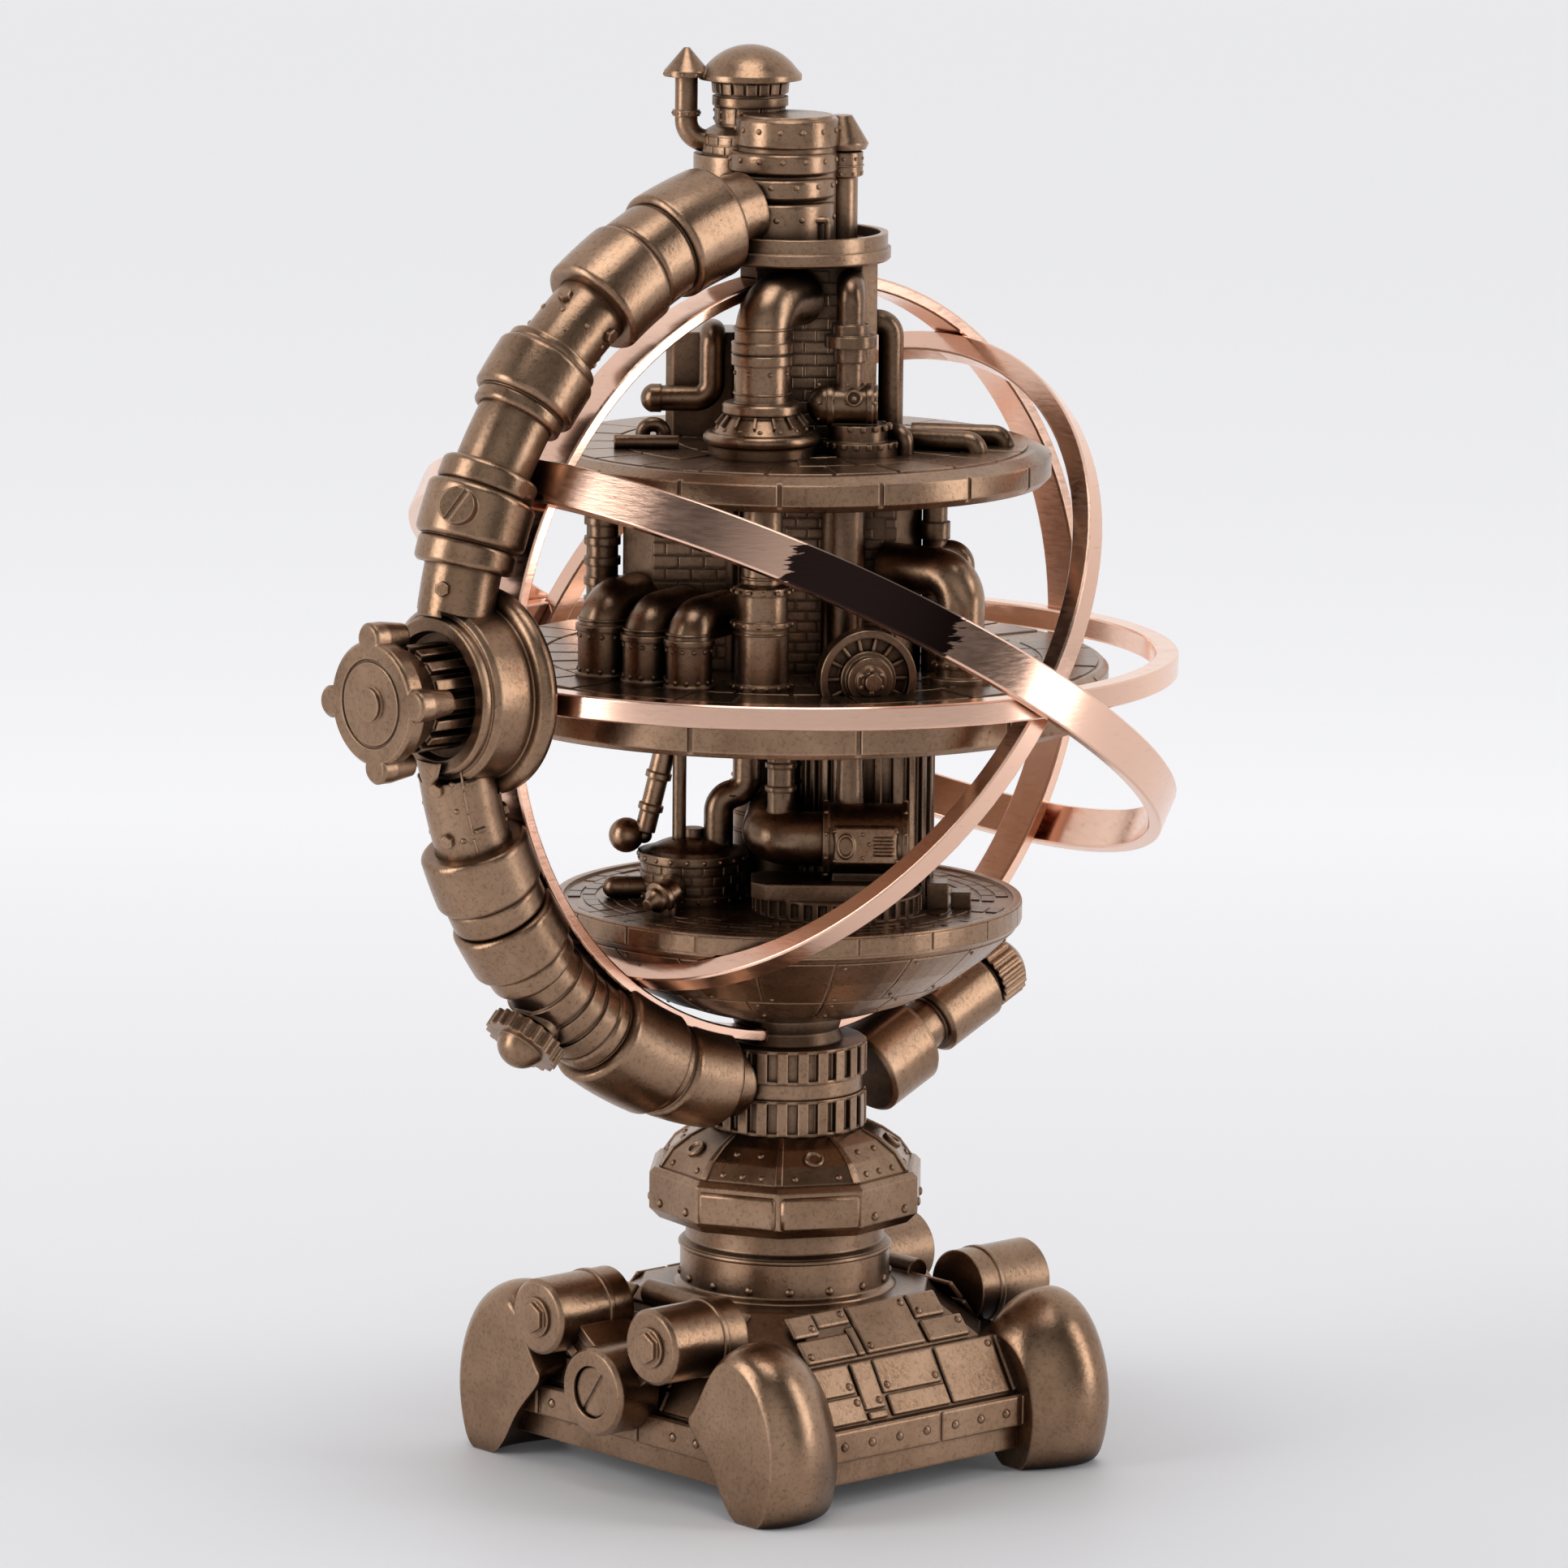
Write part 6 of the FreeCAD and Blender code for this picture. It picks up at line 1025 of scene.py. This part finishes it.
def platform_detail():
    funnel = front(*FUNNEL)
    ring_rivets("funnel_rivets", funnel, FUNNEL_FOOT_R, (FUNNEL_FOOT_RIVET_Z,), 14, 0.55)
    ring_rivets("funnel_band_rivets", funnel, FUNNEL_PIPE_R, (FUNNEL_BAND_RIVET_Z,), 8)
    fins = bmesh.new()
    axis = shifted(funnel[0], funnel[1], FIN_Z)
    lean = shifted(FIN_R, 0, 0) @ Matrix.Rotation(FIN_LEAN, 4, "Y")
    for i in range(FIN_COUNT):
        turn = Matrix.Rotation(2 * math.pi * i / FIN_COUNT + FIN_START, 4, "Z")
        add_box(fins, axis @ turn @ lean, (2.6, 0.5, 0.9))
    finish_piece("funnel_fins", fins, "frame", smooth=False)
    beads("funnel_beads", funnel, FUNNEL_BEADS)
    height = TRAY_Z0 - PLATFORM_TOP_Z - 0.4
    bricks("house_bricks", front_wall(*HOUSE_WALL), 21.5, height, (5.0, 2.4), skip=0.2)
    u, v = VALVE
    teeth = bmesh.new()
    for radius, top, count in VALVE_STEPS:
        step = shifted(*front(u, v, PLATFORM_TOP_Z + top - 0.6))
        box_ring(teeth, step, count, (radius - 0.1, 0, 0), (1.0, 1.1, 1.2))
    finish_piece("valve_teeth", teeth, "frame", SHADED_BRONZE, smooth=False)
    wheel = bmesh.new()
    add_turned(wheel, turn_matrix(*VALVE_WHEEL), VALVE_WHEEL_OUTLINE, 24)
    finish_piece("valve_wheel", wheel, "frame")
    heads = []
    out = front_dir(0, -1)
    axis_z = PLATFORM_TOP_Z + VALVE_STEPS[-1][1] + 4.6
    for du in (-8.6, -3.0, 2.6):
        for a in (-0.9, 0.0, 0.9):
            direction = out * math.cos(a) + UPRIGHT * math.sin(a)
            heads.append((Vector(front(u + du, v, axis_z)) + direction * 4.45, direction))
    rivets("valve_rivets", "frame", heads, 0.4)


def tower_detail():
    """Slats, plates and bricks round the tall tower's storeys."""
    tower = front(*TOWER)
    neck = Turned(tower, TOWER_NECK)
    tiled("tower_slats", "frame", neck, ((0.0, neck.length, 18, 0.0),), 0.6, 0.5)
    body = Turned(tower, TOWER_BODY)
    tiled("tower_plates", "frame", body, ((0.0, body.length, 9, 0.1),), 0.5, 0.3, 0.4, inset=1.0)
    foot = Turned(tower, TOWER_FOOT)
    tiled("tower_bricks", "frame", foot, ((0.0, 1.9, 20, 0.0), (1.9, 3.8, 20, 0.15)), 0.3, 0.25)


def crown_detail():
    slope = math.tan(math.radians(CAMERA_AZIMUTH))
    for k, (low, high, radius, u) in enumerate(TURRET_BANDS, 1):
        centre = front(u, (u - TURRET_AXIS_U) * slope)
        z = TRAY_FLOOR_Z + (low + high) / 2 + (0.8 if k > 1 else 1.5)
        ring_rivets(f"turret_rivets_{k}", centre, radius, (z,), 14, 0.62)
    tower_detail()
    chimney = front(*CHIMNEY)
    ring_rivets("chimney_rivets", chimney, CHIMNEY_R, (CHIMNEY_RIVET_Z,), 8, 0.35)
    ring_rivets("hat_rivets", chimney, HAT_R, (HAT_RIVET_Z,), 10, 0.35)
    small = front(*SMALL_TURRET)
    ring_rivets("small_turret_rivets", small, SMALL_TURRET_R, SMALL_TURRET_RIVET_ZS, 10, 0.4)
    beads("small_turret_beads", small, (SMALL_TURRET_BEAD,))
    bracket = bmesh.new()
    base = turn_matrix(*BRACKET)
    add_box(bracket, base, (1.3, 6.4, 1.3), 0.4)
    add_box(bracket, base @ shifted(-1.2, 2.6, 0), (3.4, 1.3, 1.3), 0.4)
    finish_piece("turret_bracket", bracket, "frame", smooth=False)


mid_deck_detail()
boiler_detail()
condenser_detail()
lever_and_nozzle()
spine_bands()
platform_detail()
crown_detail()


# ---------------------------------------------------------------------------
# studio
# ---------------------------------------------------------------------------
AZIMUTH = math.radians(-CAMERA_AZIMUTH)
ELEVATION = math.radians(9.85)
DISTANCE = 1.850
TARGET_Z = 0.13964
SIDE_SHIFT = -0.00115
ROLL = math.radians(0.6)
LENS = 208.7
WORLD_POWER = 0.95
FLOOR_COLOUR = (0.80, 0.80, 0.82, 1.0)
FLOOR_GLOW = (0.02, 0.02, 0.02)
FAR_GLOW = (0.36, 0.36, 0.37)
GLOW_REACH = 3.0
AIM = Vector((0, 0, 0.15))


def photo_camera():
    """The photo's camera; gives its right and backward directions."""
    level = math.cos(ELEVATION)
    back = Vector((math.sin(AZIMUTH) * level, -math.cos(AZIMUTH) * level, math.sin(ELEVATION)))
    right = Vector((math.cos(AZIMUTH), math.sin(AZIMUTH), 0))
    up = back.cross(right)
    right, up = right * math.cos(ROLL) + up * math.sin(ROLL), up * math.cos(ROLL) - right * math.sin(ROLL)
    data = bpy.data.cameras.new("camera")
    data.lens = LENS
    data.sensor_width = 36.0
    data.clip_start, data.clip_end = 0.1, 20.0
    camera = bpy.data.objects.new("camera", data)
    bpy.context.scene.collection.objects.link(camera)
    matrix = Matrix((right, up, back)).transposed().to_4x4()
    matrix.translation = Vector((0, 0, TARGET_Z)) + right * SIDE_SHIFT + back * DISTANCE
    camera.matrix_world = matrix
    bpy.context.scene.camera = camera
    return right, back


def area(name, position, size, power):
    """A soft box that points at the sculpture's middle."""
    data = bpy.data.lights.new(name, "AREA")
    data.shape = "RECTANGLE"
    data.size, data.size_y = size
    data.energy = power
    light = bpy.data.objects.new(name, data)
    bpy.context.scene.collection.objects.link(light)
    light.location = position
    light.rotation_euler = (AIM - position).to_track_quat("-Z", "Y").to_euler()


def sky(toward):
    """A studio room: white behind the sculpture, dark to its sides, light behind the camera."""
    world = bpy.data.worlds.new("studio")
    bpy.context.scene.world = world
    world.use_nodes = True
    tree = world.node_tree
    background = tree.nodes["Background"]
    coord = tree.nodes.new("ShaderNodeTexCoord")
    facing = dot_with(tree, coord.outputs["Generated"], toward)
    value = maths(tree, "MULTIPLY_ADD", facing, 0.5)
    value.node.inputs[2].default_value = 0.5
    stops = [(0.0, grey(1.0)), (0.42, (0.72, 0.72, 0.74)), (0.60, grey(0.10)), (0.82, grey(0.08)),
             (0.97, grey(0.70))]
    tree.links.new(ramp(tree, value, stops), background.inputs[0])
    background.inputs[1].default_value = WORLD_POWER


def floor(toward):
    """A pale floor that glows a little, more so far behind the sculpture."""
    bpy.ops.mesh.primitive_plane_add(size=12.0, location=(0, 0, -0.0002))
    obj = bpy.context.object
    obj.name = "floor"
    material, tree, shader = node_tree("floor_white")
    coord = tree.nodes.new("ShaderNodeTexCoord")
    ahead = dot_with(tree, coord.outputs["Object"], toward)
    glow = ramp(tree, maths(tree, "DIVIDE", ahead, -GLOW_REACH), [(0.0, FLOOR_GLOW), (0.25, FAR_GLOW)])
    shader.inputs["Base Color"].default_value = FLOOR_COLOUR
    tree.links.new(glow, shader.inputs["Emission Color"])
    shader.inputs["Emission Strength"].default_value = 1.0
    shader.inputs["Roughness"].default_value = 0.55
    dress(obj, material)


def studio():
    right, back = photo_camera()
    bpy.context.scene.view_settings.view_transform = "Standard"
    toward = Vector((back.x, back.y, 0)).normalized()
    left = -Vector((right.x, right.y, 0)).normalized()
    sky(toward)
    floor(toward)
    area("left_box", left * 0.95 + toward * 0.45 + UPRIGHT * 0.45, (0.45, 1.0), 6.0)
    area("right_box", -left * 1.0 + toward * 0.25 + UPRIGHT * 0.45, (0.30, 1.0), 3.6)
    area("top_box", toward * 0.25 + UPRIGHT * 1.25, (0.6, 0.6), 3.6)


studio()
